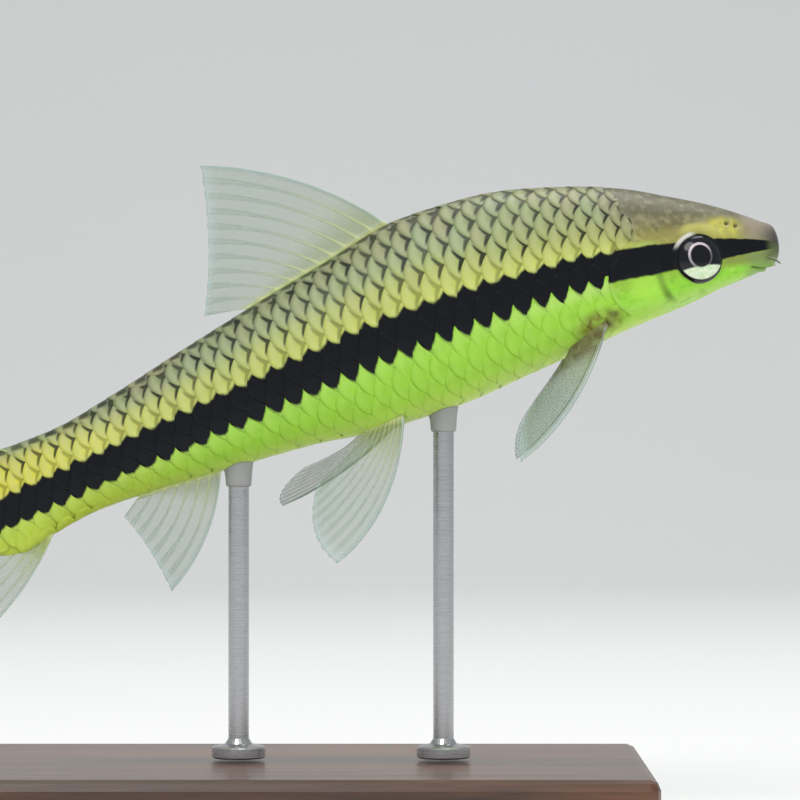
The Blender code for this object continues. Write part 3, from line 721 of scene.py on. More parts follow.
# Fins, as in the solids: root, tip and bow of the first and the last ray
PELVIC = dict(front_root=(40.5, 2.4, -7.2), rear_root=(43.4, 1.3, -6.9), rays=9)
PECTORAL = dict(
    front_root=(17.8, 3.4, -4.2), rear_root=(20.9, 2.6, -5.5),
    front_tip=(31.0, 8.0, -15.3), rear_tip=(27.6, 2.6, -10.6),
    front_bow=(-2.3, 1.0, -2.9), rear_bow=(-0.2, 0.0, -0.3), margin=(0.7, 0.0, 0.2),
    rays=15, ray_width=0.15,
)
FINS = {
    "dorsal_fin": dict(
        front_root=(34.6, 0.0, back_line(35.6)), rear_root=(48.6, 0.0, back_line(48.6)),
        front_tip=(48.6, 0.0, 22.9), rear_tip=(54.3, 0.0, 9.4),
        front_bow=(-1.6, 0.0, 2.2), rear_bow=(0.0, 0.0, 0.2), margin=(-0.5, 0.0, -0.3), rays=11,
    ),
    "anal_fin": dict(
        front_root=(58.7, 0.0, belly_line(58.7)), rear_root=(66.1, 0.0, belly_line(66.1)),
        front_tip=(68.2, 0.0, -13.5), rear_tip=(69.4, 0.0, -5.0),
        front_bow=(-1.6, 0.0, -1.9), margin=(-0.3, 0.0, 0.4), rays=8,
    ),
    "pelvic_fin_right": dict(
        PELVIC, side=-1, front_tip=(52.3, 6.4, -17.5), rear_tip=(51.0, 1.4, -9.9),
        front_bow=(-2.0, 0.6, -2.9), rear_bow=(0.0, 0.0, -0.3), margin=(1.4, 0.2, 0.0),
    ),
    "pelvic_fin_left": dict(
        PELVIC, front_tip=(55.3, 7.9, -10.5), rear_tip=(51.6, 2.6, -7.9),
        front_bow=(-0.8, 0.6, -1.6), rear_bow=(0.0, 0.0, -0.9), margin=(1.2, 0.4, 0.1),
    ),
    "pectoral_fin_right": dict(PECTORAL, side=-1),
    "pectoral_fin_left": PECTORAL,
    "tail_fin_upper": dict(
        front_root=(76.4, 0.0, 5.0), rear_root=(79.0, 0.0, 1.01),
        front_tip=(98.4, 0.0, 13.2), rear_tip=(88.3, 0.0, 1.11),
        front_bow=(-3.6, 0.0, 2.4), margin=(-1.6, 0.0, -0.6), rays=10,
    ),
    "tail_fin_lower": dict(
        front_root=(75.9, 0.0, -3.3), rear_root=(79.0, 0.0, 0.99),
        front_tip=(98.5, 0.0, -12.4), rear_tip=(88.3, 0.0, 1.09),
        front_bow=(-4.0, 0.0, -2.9), margin=(-1.6, 0.0, 0.6), rays=9,
    ),
}


def fin_point(across, along, plan):
    """Points of a fin's middle surface: across from the first ray to the last, along to the tips."""
    part = {key: vec(*plan.get(key, (0, 0, 0))) * (1, plan.get("side", 1), 1) for key in FIN_KEYS}
    a, t = across[..., None], along[..., None]
    root = part["front_root"] * (1 - a) + part["rear_root"] * a
    tip = part["front_tip"] * (1 - a) + part["rear_tip"] * a + part["margin"] * 4 * a * (1 - a)
    middle = 0.5 * (root + tip) + part["front_bow"] * (1 - a) + part["rear_bow"] * a
    return bowed(root, middle, tip, t)


def fin_normal(a, t, plan):
    step = 0.004
    sideways = fin_point(a + step, t, plan) - fin_point(a - step, t, plan)
    outwards = fin_point(a, t + step, plan) - fin_point(a, t - step, plan)
    return unit(np.cross(sideways, outwards))


def clearance(points):
    """How far points stand outside the body, negative inside it."""
    s, u, v = np.moveaxis(points, -1, 0)
    back, belly, half_width = body_sizes(s)
    size = np.hypot(np.abs(u) / half_width, np.abs(v) / np.where(v > 0, back, belly))
    return np.hypot(u, v) * (1.0 - 1.0 / np.maximum(size, 0.05))


def ray_mask(place, along, thickness):
    """1 on the crest of a ray or of its branches, 0 on the membrane. The rays are 1 apart."""
    nearest = np.round(place)
    first, second = (off * ease(along, start, 1.0) for off, start in RAY_FORKS)
    width = thickness * (1.0 - 0.68 * ease(along, 0.1, 0.8))
    branches = [one * first + two * second for one in (-1, 1) for two in (-1, 1)]
    crests = [bump(place - nearest - (nearest > 0.5) * branch, width) for branch in branches]
    return np.max(crests, axis=0)


def fin_half(place, t, share, out, crest):
    """Half of a fin's thickness, with the shares of its leading ray and of the beads on its root."""
    free = ease(out, 0.1, 1.8)
    leading = bump(place, 0.22)
    bead = bump(out - 0.1, 0.22) * (0.45 + 0.55 * bump((place + 0.5) % 1.0 - 0.5, 0.3))
    half = WEB_HALF + (FIN_ROOT_HALF - WEB_HALF) * ease(out, 1.5, -0.3)
    half = half + RAY_HALF * crest * free * (1.0 - 0.72 * t)
    half = half + LEADING_HALF * leading * free * (1.0 - 0.6 * t) + BEAD_HALF * bead
    return half * (1.0 - 0.75 * ease(share, 0.86, 1.0)), leading, bead


def make_fin(name, plan):
    """A thin web with branching rays raised on both of its faces."""
    on_tail, on_breast = (float(name.startswith(word)) for word in ("tail", "pectoral"))
    columns = (plan["rays"] - 1) * RAY_COLUMNS + 1
    a, share = np.meshgrid(np.linspace(0, 1, columns), np.linspace(0, 1, FIN_ROWS), indexing="ij")
    place = a * (plan["rays"] - 1)
    crest = ray_mask(place, share, plan.get("ray_width", RAY_WIDTH))
    frayed = np.sin(a * 91.0) + 0.6 * np.sin(a * 203.0 + 1.0)
    wave = 0.5 - 0.5 * np.cos(2 * math.pi * place)
    t = share * (1.0 - MARGIN_SCALLOP * wave - MARGIN_FRAY * frayed)
    middle = fin_point(a, t, plan)
    root, tip = (fin_point(a, np.full_like(a, end), plan) for end in (0.0, 1.0))
    out = t * np.linalg.norm(tip - root, axis=-1) - 1.0 if on_tail else clearance(middle)
    half, leading, bead = fin_half(place, t, share, out, crest)
    thick = fin_normal(a, t, plan) * half[..., None]
    points = np.stack((middle + thick, middle - thick)).reshape(-1, 3)
    layers = {
        "fin": (t, crest, leading),
        "edge": (share, bead, 0.0),
        "stain": (
            bump(middle[..., 2] - 1.1, 1.9) * ease(middle[..., 0], 95.0, 84.0) * on_tail,
            ease(out, 0.7 + 4.8 * on_tail, -0.1),
            ease(out, 3.4, 0.6) * on_breast,
        ),
    }
    attributes = {key: np.tile(stacked(*parts), (2, 1)) for key, parts in layers.items()}
    faces, places, rim = sheet_faces(columns, FIN_ROWS)
    flat = joined(a, t).reshape(-1, 2)
    near, far = FIN_MAP_CORNERS
    corners = (places * FIN_MAP + near, places[:, ::-1] * FIN_MAP + far, flat[rim] * FIN_MAP + near)
    return make_object(name, bent(points), faces[:, ::-1], attributes, np.concatenate(corners)[:, ::-1])


def make_barbel(name, side):
    """A soft tapered feeler at the corner of the snout."""
    steps, sides = BARBEL_GRID
    t = np.linspace(0.0, 1.0, steps)[:, None]
    path = bowed(*(vec(s, side * u, v) for s, u, v in BARBEL_POINTS), t)
    ahead = unit(np.gradient(path, axis=0))
    across = unit(np.cross(ahead, vec(0, 0, 1)))
    lift = np.cross(across, ahead)
    turns = once_round(sides)[:, None]
    radius = BARBEL_RADII[0] + (BARBEL_RADII[1] - BARBEL_RADII[0]) * t
    radius = radius * np.sqrt(np.maximum(1.0 - np.maximum((t - 0.86) / 0.14, 0.0) ** 2, 0.02))
    ring = across[:, None] * np.cos(turns) + lift[:, None] * np.sin(turns)
    points = path[:, None] + ring * radius[..., None]
    faces, corner_places = tube_faces(steps, sides)
    value = stacked(np.repeat(t, sides), 0.0, 0.0)
    return make_object(name, bent(points.reshape(-1, 3)), faces, {"fin": value}, corner_places)


def belly_height(x, y):
    """Height of the fish's underside over places of the floor plan, all in metres."""
    s, angle = np.meshgrid(*(np.linspace(*span) for span in UNDERSIDE), indexing="ij")
    under = bent(body_point(s, angle)).reshape(-1, 3)
    away = np.hypot(under[None, :, 0] - x[:, None], under[None, :, 1] - y[:, None])
    return under[np.argmin(away, axis=1), 2]


def make_cup(name, rod):
    """A soft cup on top of a rod, shaped to the belly that lies in it."""
    low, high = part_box(rod)
    circle = joined(np.cos(once_round(CUP_SIDES)), np.sin(once_round(CUP_SIDES)))
    rings = []
    for radius, drop in CUP_PROFILE:
        flat = vec((low.x + high.x) / 2, 0.0) + circle * radius * TO_METRES
        belly = belly_height(flat[:, 0], flat[:, 1])
        share = min(drop / CUP_LEVEL_FROM, 1.0)
        level = belly * (1.0 - share) + belly.mean() * share - drop * TO_METRES
        rings.append(np.column_stack((flat, level)))
    faces, corner_places = tube_faces(len(CUP_PROFILE), CUP_SIDES)
    return make_object(name, np.concatenate(rings), faces, {}, corner_places)


def turned(points, first, second, angle):
    """Points turned by an angle from one of their axes to another."""
    made = points.copy()
    a, b = points[:, first], points[:, second]
    made[:, first] = a * math.cos(angle) - b * math.sin(angle)
    made[:, second] = a * math.sin(angle) + b * math.cos(angle)
    return made


def side_reach(s, v):
    """How far the head's side stands out at a height under its middle."""
    _, belly, half_width = body_sizes(s)
    power = BELLY_SQUARENESS[0] + (BELLY_SQUARENESS[1] - BELLY_SQUARENESS[0]) * s / STANDARD_LENGTH * 2
    return half_width * (1.0 - abs(v / belly) ** power) ** (1.0 / power)


def make_eye(name, side):
    """An eyeball with a bulging front. Its plane carries the iris and the pupil."""
    rings, sides = EYE_GRID
    theta = np.linspace(0.0, math.pi, rings + 2)[1:-1]
    t, p = np.meshgrid(theta, once_round(sides), indexing="ij")
    ball = stacked(np.sin(t) * np.cos(p), np.sin(t) * np.sin(p), np.cos(t))
    radius, depth = EYE_RADIUS - EYE_INSIDE_SOLID, EYE_HALF_DEPTH - EYE_INSIDE_SOLID
    flat = np.concatenate((ball, ((0, 0, 1), (0, 0, -1)))) * (radius, radius, depth)
    placed = turned(flat[:, (0, 2, 1)] * (1, side, 1), 1, 2, side * EYE_TURNED_UP)
    placed = turned(placed, 0, 1, side * EYE_TURNED_FORWARD)
    s, v = EYE_MIDDLE
    points = placed + vec(s, side * (side_reach(s, v) - EYE_SUNK), v)
    quads, places = grid_faces(rings, sides, closed=True)
    ends = [(0.5, 0.0)] * (3 * sides) + [(0.5, 1.0)] * (3 * sides)
    corner_places = np.concatenate((places.reshape(-1, 2), ends))
    return make_object(name, bent(points), [*quads, *fans(rings, sides)], {"eye": flat}, corner_places)


def as_node(operation, turned_round=False):
    """A Python operator that adds a maths node to a material."""

    def operator(a, b):
        return a.net.math(operation, *((b, a) if turned_round else (a, b)))

    return operator


class Value:
    """A number or a colour that a material works out, written as in ordinary sums."""

    def __init__(self, net, socket):
        self.net = net
        self.socket = socket

    __add__, __radd__ = as_node("ADD"), as_node("ADD", True)
    __sub__, __rsub__ = as_node("SUBTRACT"), as_node("SUBTRACT", True)
    __mul__, __rmul__ = as_node("MULTIPLY"), as_node("MULTIPLY", True)
    __truediv__, __pow__ = as_node("DIVIDE"), as_node("POWER")
    at_least, at_most = as_node("MAXIMUM"), as_node("MINIMUM")

    def __abs__(self):
        return self.net.math("ABSOLUTE", self)


class Net:
    """The shader nodes of one material."""

    def __init__(self, name, **sockets):
        self.material = bpy.data.materials.new(name)
        self.material.use_nodes = True
        self.tree = self.material.node_tree
        self.shader = self.tree.nodes["Principled BSDF"]
        self.finish(**sockets)

    def put(self, value, socket):
        if isinstance(value, Value):
            self.tree.links.new(value.socket, socket)
        else:
            socket.default_value = value

    def node(self, kind, output, inputs, **settings):
        """A node with its settings and inputs. Gives one of its outputs."""
        made = self.tree.nodes.new(kind)
        for key, value in settings.items():
            setattr(made, key, value)
        for key, value in inputs.items():
            self.put(value, made.inputs[key])
        return Value(self, made.outputs[output])

    def math(self, operation, *values, clamp=False):
        inputs = dict(enumerate(values))
        return self.node("ShaderNodeMath", 0, inputs, operation=operation, use_clamp=clamp)

    def values(self, name):
        """The three numbers that a mesh carries under this name."""
        carried = self.node("ShaderNodeAttribute", "Vector", {}, attribute_name=name)
        first = self.node("ShaderNodeSeparateXYZ", 0, {0: carried})
        return [Value(self, output) for output in first.socket.node.outputs]

    def noise(self, scale, detail=3.0, roughness=0.5, stretch=None):
        """Clouds over the object, finer along an axis where the stretch is larger."""
        place = self.node("ShaderNodeTexCoord", "Object", {})
        if stretch:
            place = self.node("ShaderNodeMapping", 0, {"Vector": place, "Scale": stretch})
        inputs = {"Vector": place, "Scale": scale, "Detail": detail, "Roughness": roughness}
        return self.node("ShaderNodeTexNoise", "Fac", inputs)

    def relief(self, height, distance, strength):
        inputs = {"Height": height, "Distance": distance, "Strength": strength}
        self.finish(Normal=self.node("ShaderNodeBump", "Normal", inputs))

    def finish(self, **sockets):
        """Sets or links inputs of the material's shader."""
        for key, value in sockets.items():
            self.put(value, self.shader.inputs[key.replace("_", " ")])
        return self.material


def rise(value, low, high):
    """0 below low, 1 above high; falls where low is the larger."""
    first = float(low > high)
    inputs = {"Value": value, "From Min": min(low, high), "From Max": max(low, high)}
    inputs.update({"To Min": first, "To Max": 1.0 - first})
    kind = dict(interpolation_type="SMOOTHSTEP", clamp=True)
    return value.net.node("ShaderNodeMapRange", "Result", inputs, **kind)


def between(value, low, high, soft):
    return rise(value, low - soft, low + soft) * rise(value, high + soft, high - soft)


def length_of(a, b):
    return a.net.math("SQRT", a * a + b * b)


def distance(s, v, middle):
    """How far a place on the side of the fish is from a point there."""
    return length_of(s - middle[0], v - middle[1])


def oval(s, v, middle, radii, soft=0.5):
    """1 in an oval on the side of the fish, 0 outside."""
    away = length_of((s - middle[0]) / radii[0], (v - middle[1]) / radii[1])
    return rise(away, 1.0 + soft, 1.0 - soft)


def linear(colour):
    """A colour in screen bytes as the linear colour that a shader takes."""
    if isinstance(colour, Value):
        return colour
    parts = [value / 255.0 for value in colour]
    return (*(c / 12.92 if c <= 0.04045 else ((c + 0.055) / 1.055) ** 2.4 for c in parts), 1.0)


def mix(share, first, second):
    inputs = {"Factor": share, "A": linear(first), "B": linear(second)}
    return share.net.node("ShaderNodeMix", "Result", inputs, data_type="RGBA")


def painted(colour, *coats):
    """A colour under coats of others, each with the share of it that covers what is below."""
    for share, coat in coats:
        colour = mix(share, colour, coat)
    return colour


def ramp(value, stops):
    """A colour that changes smoothly from stop to stop."""
    low, high = stops[0][0], stops[-1][0]
    colour = value.net.node("ShaderNodeValToRGB", "Color", {"Fac": (value - low) / (high - low)})
    band = colour.socket.node.color_ramp
    band.interpolation = "EASE"
    while len(band.elements) < len(stops):
        band.elements.new(0.5)
    for element, (place, tint) in zip(band.elements, stops):
        element.position = (place - low) / (high - low)
        element.color = linear(tint)
    return colour


def flank_colour(net, at):
    """Lime belly, partly painted green reflection and painted light, yellow beside the stripe, and a back
    that darkens to its ridge.
    """
    s, row, share = at.s, at.steady, at.share
    beside = rise(row, 0.8, 1.1) * rise(row, 3.4, 1.8) * (0.45 + rise(s, 54.0, 72.0) * 0.45)
    yellow = rise(s, 64.0, 80.0) * rise(share, 0.95, 0.7) * rise(share, -0.1, 0.1)
    later = rise(s, 56.0, 74.0) * rise(share, 0.1, -0.1)
    nearer = rise(s, 38.0, 16.0) * rise(share, 0.15, 0.35)
    under = rise(row, -0.8, -1.0) * rise(row, -2.0, -1.2) * (0.2 + rise(s, 34.0, 16.0) * 0.35)
    cloud = rise(net.noise(650.0, 4.0, 0.6), 0.42, 0.72)
    return painted(
        ramp(share, FLANK_COLOURS),
        (beside, (206, 208, 98)),
        (yellow * 0.75, (216, 208, 62)),
        (later * 0.75, (192, 204, 66)),
        (nearer * 0.4, (126, 124, 82)),
        (under, (196, 226, 130)),
        (cloud * 0.2, (118, 156, 62)),
    )


def fin_base(net, s, v, colour):
    """The brown patch at the root of the breast fin, and the dark spots ahead of it."""
    patch = oval(s + v * 0.5, v, (16.5, -4.8), (2.3, 1.15))
    patch = patch * (0.4 + rise(net.noise(900.0, 4.0, 0.6), 0.35, 0.55) * 0.5)
    spots = [oval(s, v, middle, (0.45, 0.28), 0.6) * 0.8 for middle in ((17.4, -4.2), (18.05, -5.0))]
    return painted(colour, (patch, (112, 98, 40)), *((spot, (62, 58, 22)) for spot in spots))


def crown_coats(s, height, cloud):
    """Brown and pale clouds on top of the head, with a warm band beside them."""
    crown = rise(height, 0.35, 0.9)
    warm = between(height, 0.4, 0.85, 0.15) * rise(cloud, 0.5, 0.62) * rise(s, 7.0, 9.0)
    return [
        (warm * 0.7, (182, 172, 84)),
        (crown * rise(cloud, 0.42, 0.62) * 0.5, (92, 86, 62)),
        (crown * rise(cloud, 0.5, 0.34) * 0.35, (158, 154, 124)),
    ]


def cheek_coats(s, v, height, cloud):
    """Green clouds, painted shade along the fold before the gill cover, and the cover's shine and pale rim.
    """
    cheek = rise(height, -0.3, -0.6)
    fold = distance(s, v, PREOPERCLE_MIDDLE) - PREOPERCLE_RADIUS
    # painted shade: a dark line along the crease of the fold before the gill cover
    fold_shade = rise(abs(fold), 0.62, 0.05) * rise(s, 9.4, 10.6)
    inside = oval(s, v, COVER_MIDDLE, COVER_INSIDE_RIM, 0.06)
    rim = oval(s, v, COVER_MIDDLE, COVER_RADII, 0.1) * (1.0 - inside) * rise(s, 11.0, 13.0)
    return [
        (cheek * rise(cloud, 0.5, 0.68) * 0.4, (108, 172, 60)),
        (cheek * rise(cloud, 0.46, 0.3) * 0.5, (178, 226, 112)),
        (fold_shade * rise(v, -0.6, -1.4) * rise(v, -4.5, -3.4) * 0.75, (62, 92, 24)),
        # painted highlight: a bright lime oval on the gill cover
        (oval(s, v, (13.6, -2.5), (1.6, 1.6), 0.6) * 0.6, (178, 232, 84)),
        (rim * 0.45, (186, 226, 120)),
    ]


def snout_coats(s, v, cloud):
    """The yellow spot ahead of the eye, painted shade in the nostrils, and a grey snout with a dark tip."""
    spot = oval(s, v + s * -0.12, (5.4, 1.55), (1.7, 0.95), 0.55)
    # painted shade: the nostril pits darkened inside
    pits = [rise(distance(s, v, place), 0.3, 0.1) for place in NOSTRILS]
    olive = rise(s, 7.5, 5.0) * rise(v, -0.4, -0.8) * rise(v, -2.0, -1.1)
    return [
        (spot * (0.35 + rise(cloud, 0.38, 0.6) * 0.5), (200, 196, 92)),
        *((pit_shade * 0.75, (52, 54, 28)) for pit_shade in pits),
        (rise(s, 4.4, 2.4) * rise(v, 0.0, 0.9) * 0.75, (146, 136, 124)),
        (olive * 0.8, (132, 138, 70)),
        (rise(s, 4.6, 2.4) * rise(v, 0.0, -0.8) * 0.7, (124, 142, 92)),
        (rise(distance(s, v, (0.0, 0.4)), 2.9, 0.2) * 0.9, (52, 50, 60)),
    ]


def head_colour(net, s, v):
    """Lime cheeks, a yellow band over the eye, a brown crown and a grey snout."""
    height = v / (1.9 + s * 0.13)
    cloud = net.noise(1300.0, 5.0, 0.6)
    streak = rise(net.noise(700.0, 2.0), 0.54, 0.66) * rise(s, 8.5, 11.0) * rise(height, 0.35, 0.9)
    coats = crown_coats(s, height, cloud) + cheek_coats(s, v, height, cloud)
    coats += [(streak * 0.5, (84, 80, 60))] + snout_coats(s, v, cloud)
    return painted(ramp(height, HEAD_COLOURS), *coats)


def eye_surround(s, v, colour):
    """The dark rim of the eye, a painted highlight as a pale arc on its upper rear rim, and the yellow over
    it.
    """
    r = distance(s, v, EYE_MIDDLE)
    over = between(r, 2.55, 3.35, 0.3) * rise(v, 1.2, 2.3) * rise(s, 10.2, 8.8)
    # painted highlight: a pale arc on the upper rear rim of the eye
    arc = between(r, 2.2, 2.58, 0.1) * rise(v, 0.6, 1.3) * rise(s, 8.0, 8.8)
    rim = rise(r, 2.42, 2.22)
    return painted(colour, (over * 0.75, (192, 188, 106)), (rim, (16, 19, 18)), (arc * 0.8, (214, 214, 208)))


def flank_share(s, v):
    """1 on the flank and 0 on the head, gradual over the nape and sharp at the gill cover."""
    cover = oval(s, v, COVER_MIDDLE, COVER_RADII, 0.03) * rise(v, -5.0, -4.0)
    behind = rise(s - (v - NAPE[1]) * NAPE_SLANT, NAPE[0] - 0.3, NAPE[0] + 4.2)
    below = rise(v, 0.4, -0.4) * rise(s, NAPE[0] - 0.8, NAPE[0] + 2.6)
    return behind.at_least(below) * (1.0 - cover)


def scale_marks(net, at, colour):
    """Pale edges, a tint of its own for each scale of the back, and a dark mark at its root."""
    off, above = abs(at.y), rise(at.own_row, -1.0, 1.0)
    pale = between(at.edge, 0.5, 0.86, 0.2) * at.scaly
    upper = rise(at.own_row, 1.6, 3.0) * at.scaly
    ahead = net.math("SUBTRACT", 1.0, off, clamp=True) ** PLATE_POINTEDNESS * 0.3
    slash = rise(at.x + ahead, 0.63, 0.5) * rise(off, 0.8, 0.45) * at.scaly
    strength = rise(at.own_row, 0.6, 2.4) * (0.87 + at.other * 0.12)
    strength = strength * (0.4 + rise(at.share, 0.99, 0.86) * 0.6)
    return painted(
        colour,
        (pale * above * 0.26, (204, 210, 160)),
        (pale * (1.0 - above) * 0.2, (190, 228, 110)),
        (rise(at.chance, 0.1, 1.0) * upper * 0.25, (148, 130, 108)),
        (rise(at.chance, -0.1, -1.0) * upper * 0.2, (132, 156, 138)),
        (slash * strength, DARK_MARK),
    )


def stripe_share(net, at):
    """1 on the dark stripe, with a tooth on each scale along its edges, longer along the lower one."""
    away = abs(at.steady) + (net.noise(1300.0, 2.0) - 0.5) * 0.22
    longer = 0.24 + rise(at.s, 66.0, 44.0) * 0.3 + rise(at.s, 30.0, 20.0) * 0.2 + at.other * 0.16
    depth = 0.26 - rise(at.row, 0.3, -0.3) * (0.26 + longer)
    odd_row = abs(net.math("SINE", (at.own_row - 0.5) * (math.pi / 2)))
    phase = at.x - odd_row * 0.5 + at.chance * 0.05
    lobes = abs(net.math("COSINE", phase * math.pi))
    away = away + (lobes - 0.64) * depth * at.scaly + at.chance * 0.05
    return rise(away, 1.12, 0.92) * rise(at.s, 0.4, 1.6)


def body_material():
    """Olive back, black stripe and lime belly, alike on skin and scales."""
    net = Net("fish_body", Roughness=0.4, Specular_IOR_Level=0.2, Coat_Weight=0.03, Coat_Roughness=0.15)
    at = SimpleNamespace()
    at.s, at.row, at.v = net.values("place")
    at.x, at.y, at.own_row = net.values("own")
    at.chance, at.other, at.share = net.values("chance")
    at.steady = at.row + (at.own_row - at.row) * 0.1
    at.scaly = net.math("GREATER_THAN", abs(at.chance), 0.0)
    at.edge = at.x + abs(at.y) ** PLATE_POINTEDNESS * 0.5
    colour = mix(flank_share(at.s, at.v), head_colour(net, at.s, at.v), flank_colour(net, at))
    colour = scale_marks(net, at, fin_base(net, at.s, at.v, colour))
    colour = mix(stripe_share(net, at), colour, STRIPE_COLOUR)
    rings = net.math("SINE", at.edge * 90.0) * 0.2
    net.relief(net.noise(5200.0, 3.0, 0.6) + rings, 0.00001, 0.6)
    return net.finish(Base_Color=eye_surround(at.s, at.v, colour))


def fin_material():
    """Clear membrane with pale rays and a bluish white leading edge."""
    net = Net("fish_fin", Roughness=0.32, Specular_IOR_Level=0.35)
    along, crest, leading = net.values("fin")
    reach, bead, _ = net.values("edge")
    band, flesh, brown = net.values("stain")
    joints = rise(net.math("SINE", along * 260.0), 0.7, 1.0)
    margin = rise(reach, 0.9, 1.0)
    mottle = rise(net.noise(1100.0, 3.0), 0.3, 0.6)
    colour = painted(
        mix(rise(along, 0.0, 0.6), (150, 166, 104), (140, 160, 140)),
        (crest * 0.9, mix(rise(along, 0.0, 0.7), (206, 214, 160), (160, 180, 162))),
        (crest * joints * 0.35, (120, 134, 100)),
        (leading.at_least(margin) * 0.75, (186, 206, 204)),
        (bead, (226, 226, 176)),
        (flesh * 0.7, (180, 196, 110)),
        (brown * (0.45 + mottle * 0.45), (98, 84, 40)),
        (rise(band, 0.35, 0.75), STRIPE_COLOUR),
    )
    alpha = (0.24 + crest * 0.36 + rise(along, 0.35, 0.05) * 0.25).at_least(brown * 0.8)
    alpha = (alpha + leading * 0.4 + margin * 0.12).at_least(rise(along, 0.12, 0.02))
    alpha = alpha.at_least(rise(band, 0.2, 0.75) * 0.93).at_least(flesh).at_least(bead)
    return net.finish(Base_Color=colour, Alpha=alpha.at_most(0.97))


def barbel_material():
    net = Net("fish_barbel", Roughness=0.4, Coat_Weight=0.2, Coat_Roughness=0.2)
    along, _, _ = net.values("fin")
    net.relief(net.noise(4000.0), 0.00002, 0.5)
    return net.finish(Base_Color=mix(rise(along, 0.0, 0.8), (124, 134, 92), (92, 100, 72)))


def eye_material():
    """Black pupil in a thin pale ring, dark iris, and a bright silver crescent below."""
    net = Net("fish_eye", Roughness=0.15, Specular_IOR_Level=0.3, Coat_Weight=0.2, Coat_Roughness=0.03)
    x, y, _ = net.values("eye")
    px, py = x - 0.12, y - 0.1
    grain = net.noise(2600.0, 4.0, 0.6)
    low = rise(y + abs(x - 0.06) ** 1.6 * 0.05, -0.8, -1.02)
    ring = between(length_of(px * 1.08, py), 1.03, 1.27, 0.05)
    shine = 0.3 + rise(px + py, -1.1, 0.5) * 0.65
    inner = length_of((px + 0.04) * 1.12, py + 0.08)
    colour = painted(
        mix(rise(grain, 0.4, 0.7), (5, 6, 14), (16, 18, 34)),
        (low, mix(rise(grain, 0.3, 0.7), (196, 222, 172), (234, 244, 220))),
        (ring * shine, mix(rise(py, -0.4, 0.6), (150, 150, 158), (206, 192, 198))),
        (rise(inner, 1.1, 1.02), (2, 2, 4)),
        (rise(length_of(x, y), 2.1, 2.2), (10, 13, 14)),
    )
    return net.finish(Base_Color=colour)


def wood_material():
    """Dark satin wood with its grain along the base."""
    net = Net("stand_wood", Roughness=0.38, Coat_Weight=0.35, Coat_Roughness=0.2)
    grain = net.noise(1.0, 6.0, 0.6, stretch=(18.0, 260.0, 260.0))
    fine = net.noise(1.0, stretch=(120.0, 2600.0, 2600.0))
    colour = mix(rise(grain, 0.35, 0.68), (62, 38, 24), (112, 70, 42))
    net.relief(fine, 0.00003, 0.4)
    return net.finish(Base_Color=mix(rise(fine, 0.52, 0.75) * 0.5, colour, (38, 22, 14)))


def steel_material():
    """Satin steel with fine turning marks round each rod."""
    net = Net("stand_steel", Metallic=1.0)
    marks = net.noise(1.0, stretch=(300.0, 300.0, 12000.0))
    net.relief(marks, 0.00001, 0.4)
    return net.finish(Base_Color=mix(marks, (168, 168, 170), (204, 204, 206)), Roughness=0.2 + marks * 0.14)


def rubber_material():
    """Matt grey rubber with a fine grain."""
    net = Net("stand_rubber", Roughness=0.6, Specular_IOR_Level=0.3)
    grain = net.noise(6000.0)
    net.relief(grain, 0.00002, 0.4)
    return net.finish(Base_Color=mix(grain, (150, 151, 150), (168, 169, 168)))


def stage_material():
    net = Net("floor_pale", Roughness=0.9)
    return net.finish(Base_Color=mix(net.noise(3.0), (226, 226, 224), (230, 230, 229)))


def make_stage():
    """A pale floor that sweeps up behind the model without an edge."""
    path = [(FLOOR_FRONT, 0.0)]
    for k in range(SWEEP_STEPS + 1):
        turn = math.pi / 2 * k / SWEEP_STEPS
        path.append((SWEEP_START + SWEEP_RADIUS * math.sin(turn), SWEEP_RADIUS * (1.0 - math.cos(turn))))
    path.append((SWEEP_START + SWEEP_RADIUS, WALL_TOP))
    points = [(x, y, z) for y, z in path for x in (-FLOOR_HALF_WIDTH, FLOOR_HALF_WIDTH)]
    faces, _ = grid_faces(len(path), 2, closed=False)
    floor = make_object("floor", points, faces[:, ::-1], {})
    floor.data.materials.append(stage_material())


def look(direction):
    """The turn that points a light along a direction."""
    x, y, z = direction
    return (math.atan2(math.hypot(x, y), -z), 0.0, math.atan2(y, x) - math.pi / 2)


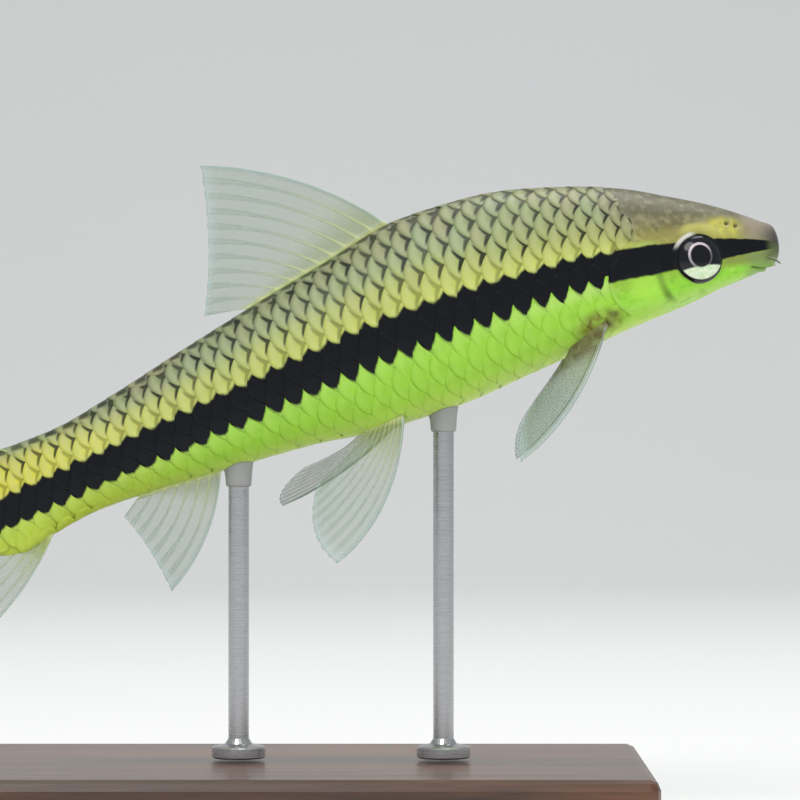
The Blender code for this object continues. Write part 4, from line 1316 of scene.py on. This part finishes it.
def make_lights():
    world = bpy.data.worlds.new("studio")
    world.use_nodes = True
    sky = world.node_tree.nodes["Background"].inputs
    sky["Color"].default_value = SKY
    sky["Strength"].default_value = SKY_STRENGTH
    bpy.context.scene.world = world
    for name, place, width, power, colour, reflected in LIGHTS:
        light = bpy.data.lights.new(name, "AREA")
        light.shape = "DISK"
        light.size = width
        light.energy = power
        light.color = colour
        obj = put_in_scene(name, light, place, look(vec(*LIGHTS_AIM) - vec(*place)))
        obj.visible_glossy = reflected


def make_camera():
    camera = bpy.data.cameras.new("camera")
    camera.sensor_width = SENSOR
    camera.lens = SENSOR * VIEW_DISTANCE / VIEW_WIDTH
    camera.clip_start = 0.01
    place = (VIEW_MIDDLE[0], -VIEW_DISTANCE, VIEW_MIDDLE[1])
    bpy.context.scene.camera = put_in_scene("camera", camera, place, (math.pi / 2, 0.0, 0.0))


def make_fish():
    body = body_material()
    dress(make_skin(), body, ("head", "trunk", "tail", "gill_cover_left", "gill_cover_right"))
    places = scale_places()
    for side, word in ((-1, "right"), (1, "left")):
        chosen = places if side < 0 else places[places[:, 5] == 0]
        for part, sign in (("upper", 1), ("lower", -1)):
            scales = make_scales(f"scales_{part}_{word}", chosen[chosen[:, 4] * sign > 0], side)
            dress(scales, body)
    fin = fin_material()
    for name, plan in FINS.items():
        dress(make_fin(f"{name}_web", plan), fin, (name,))
    eye, barbel = eye_material(), barbel_material()
    for side, word in ((1, "left"), (-1, "right")):
        dress(make_eye(f"eyeball_{word}", side), eye, (f"eye_{word}",))
        dress(make_barbel(f"feeler_{word}", side), barbel, (f"barbel_{word}",))


def main():
    bpy.context.scene.view_settings.view_transform = "Standard"
    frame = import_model()
    make_fish()
    looks = {"stand_base": wood_material(), "stand_rod_front": steel_material()}
    looks["stand_rod_rear"] = looks["stand_rod_front"]
    for name, material in looks.items():
        frame["nodes"][name].material_slots[0].material = material
    rubber = rubber_material()
    for word in ("front", "rear"):
        dress(make_cup(f"stand_cup_{word}", f"stand_rod_{word}"), rubber)
    make_stage()
    make_lights()
    make_camera()


main()
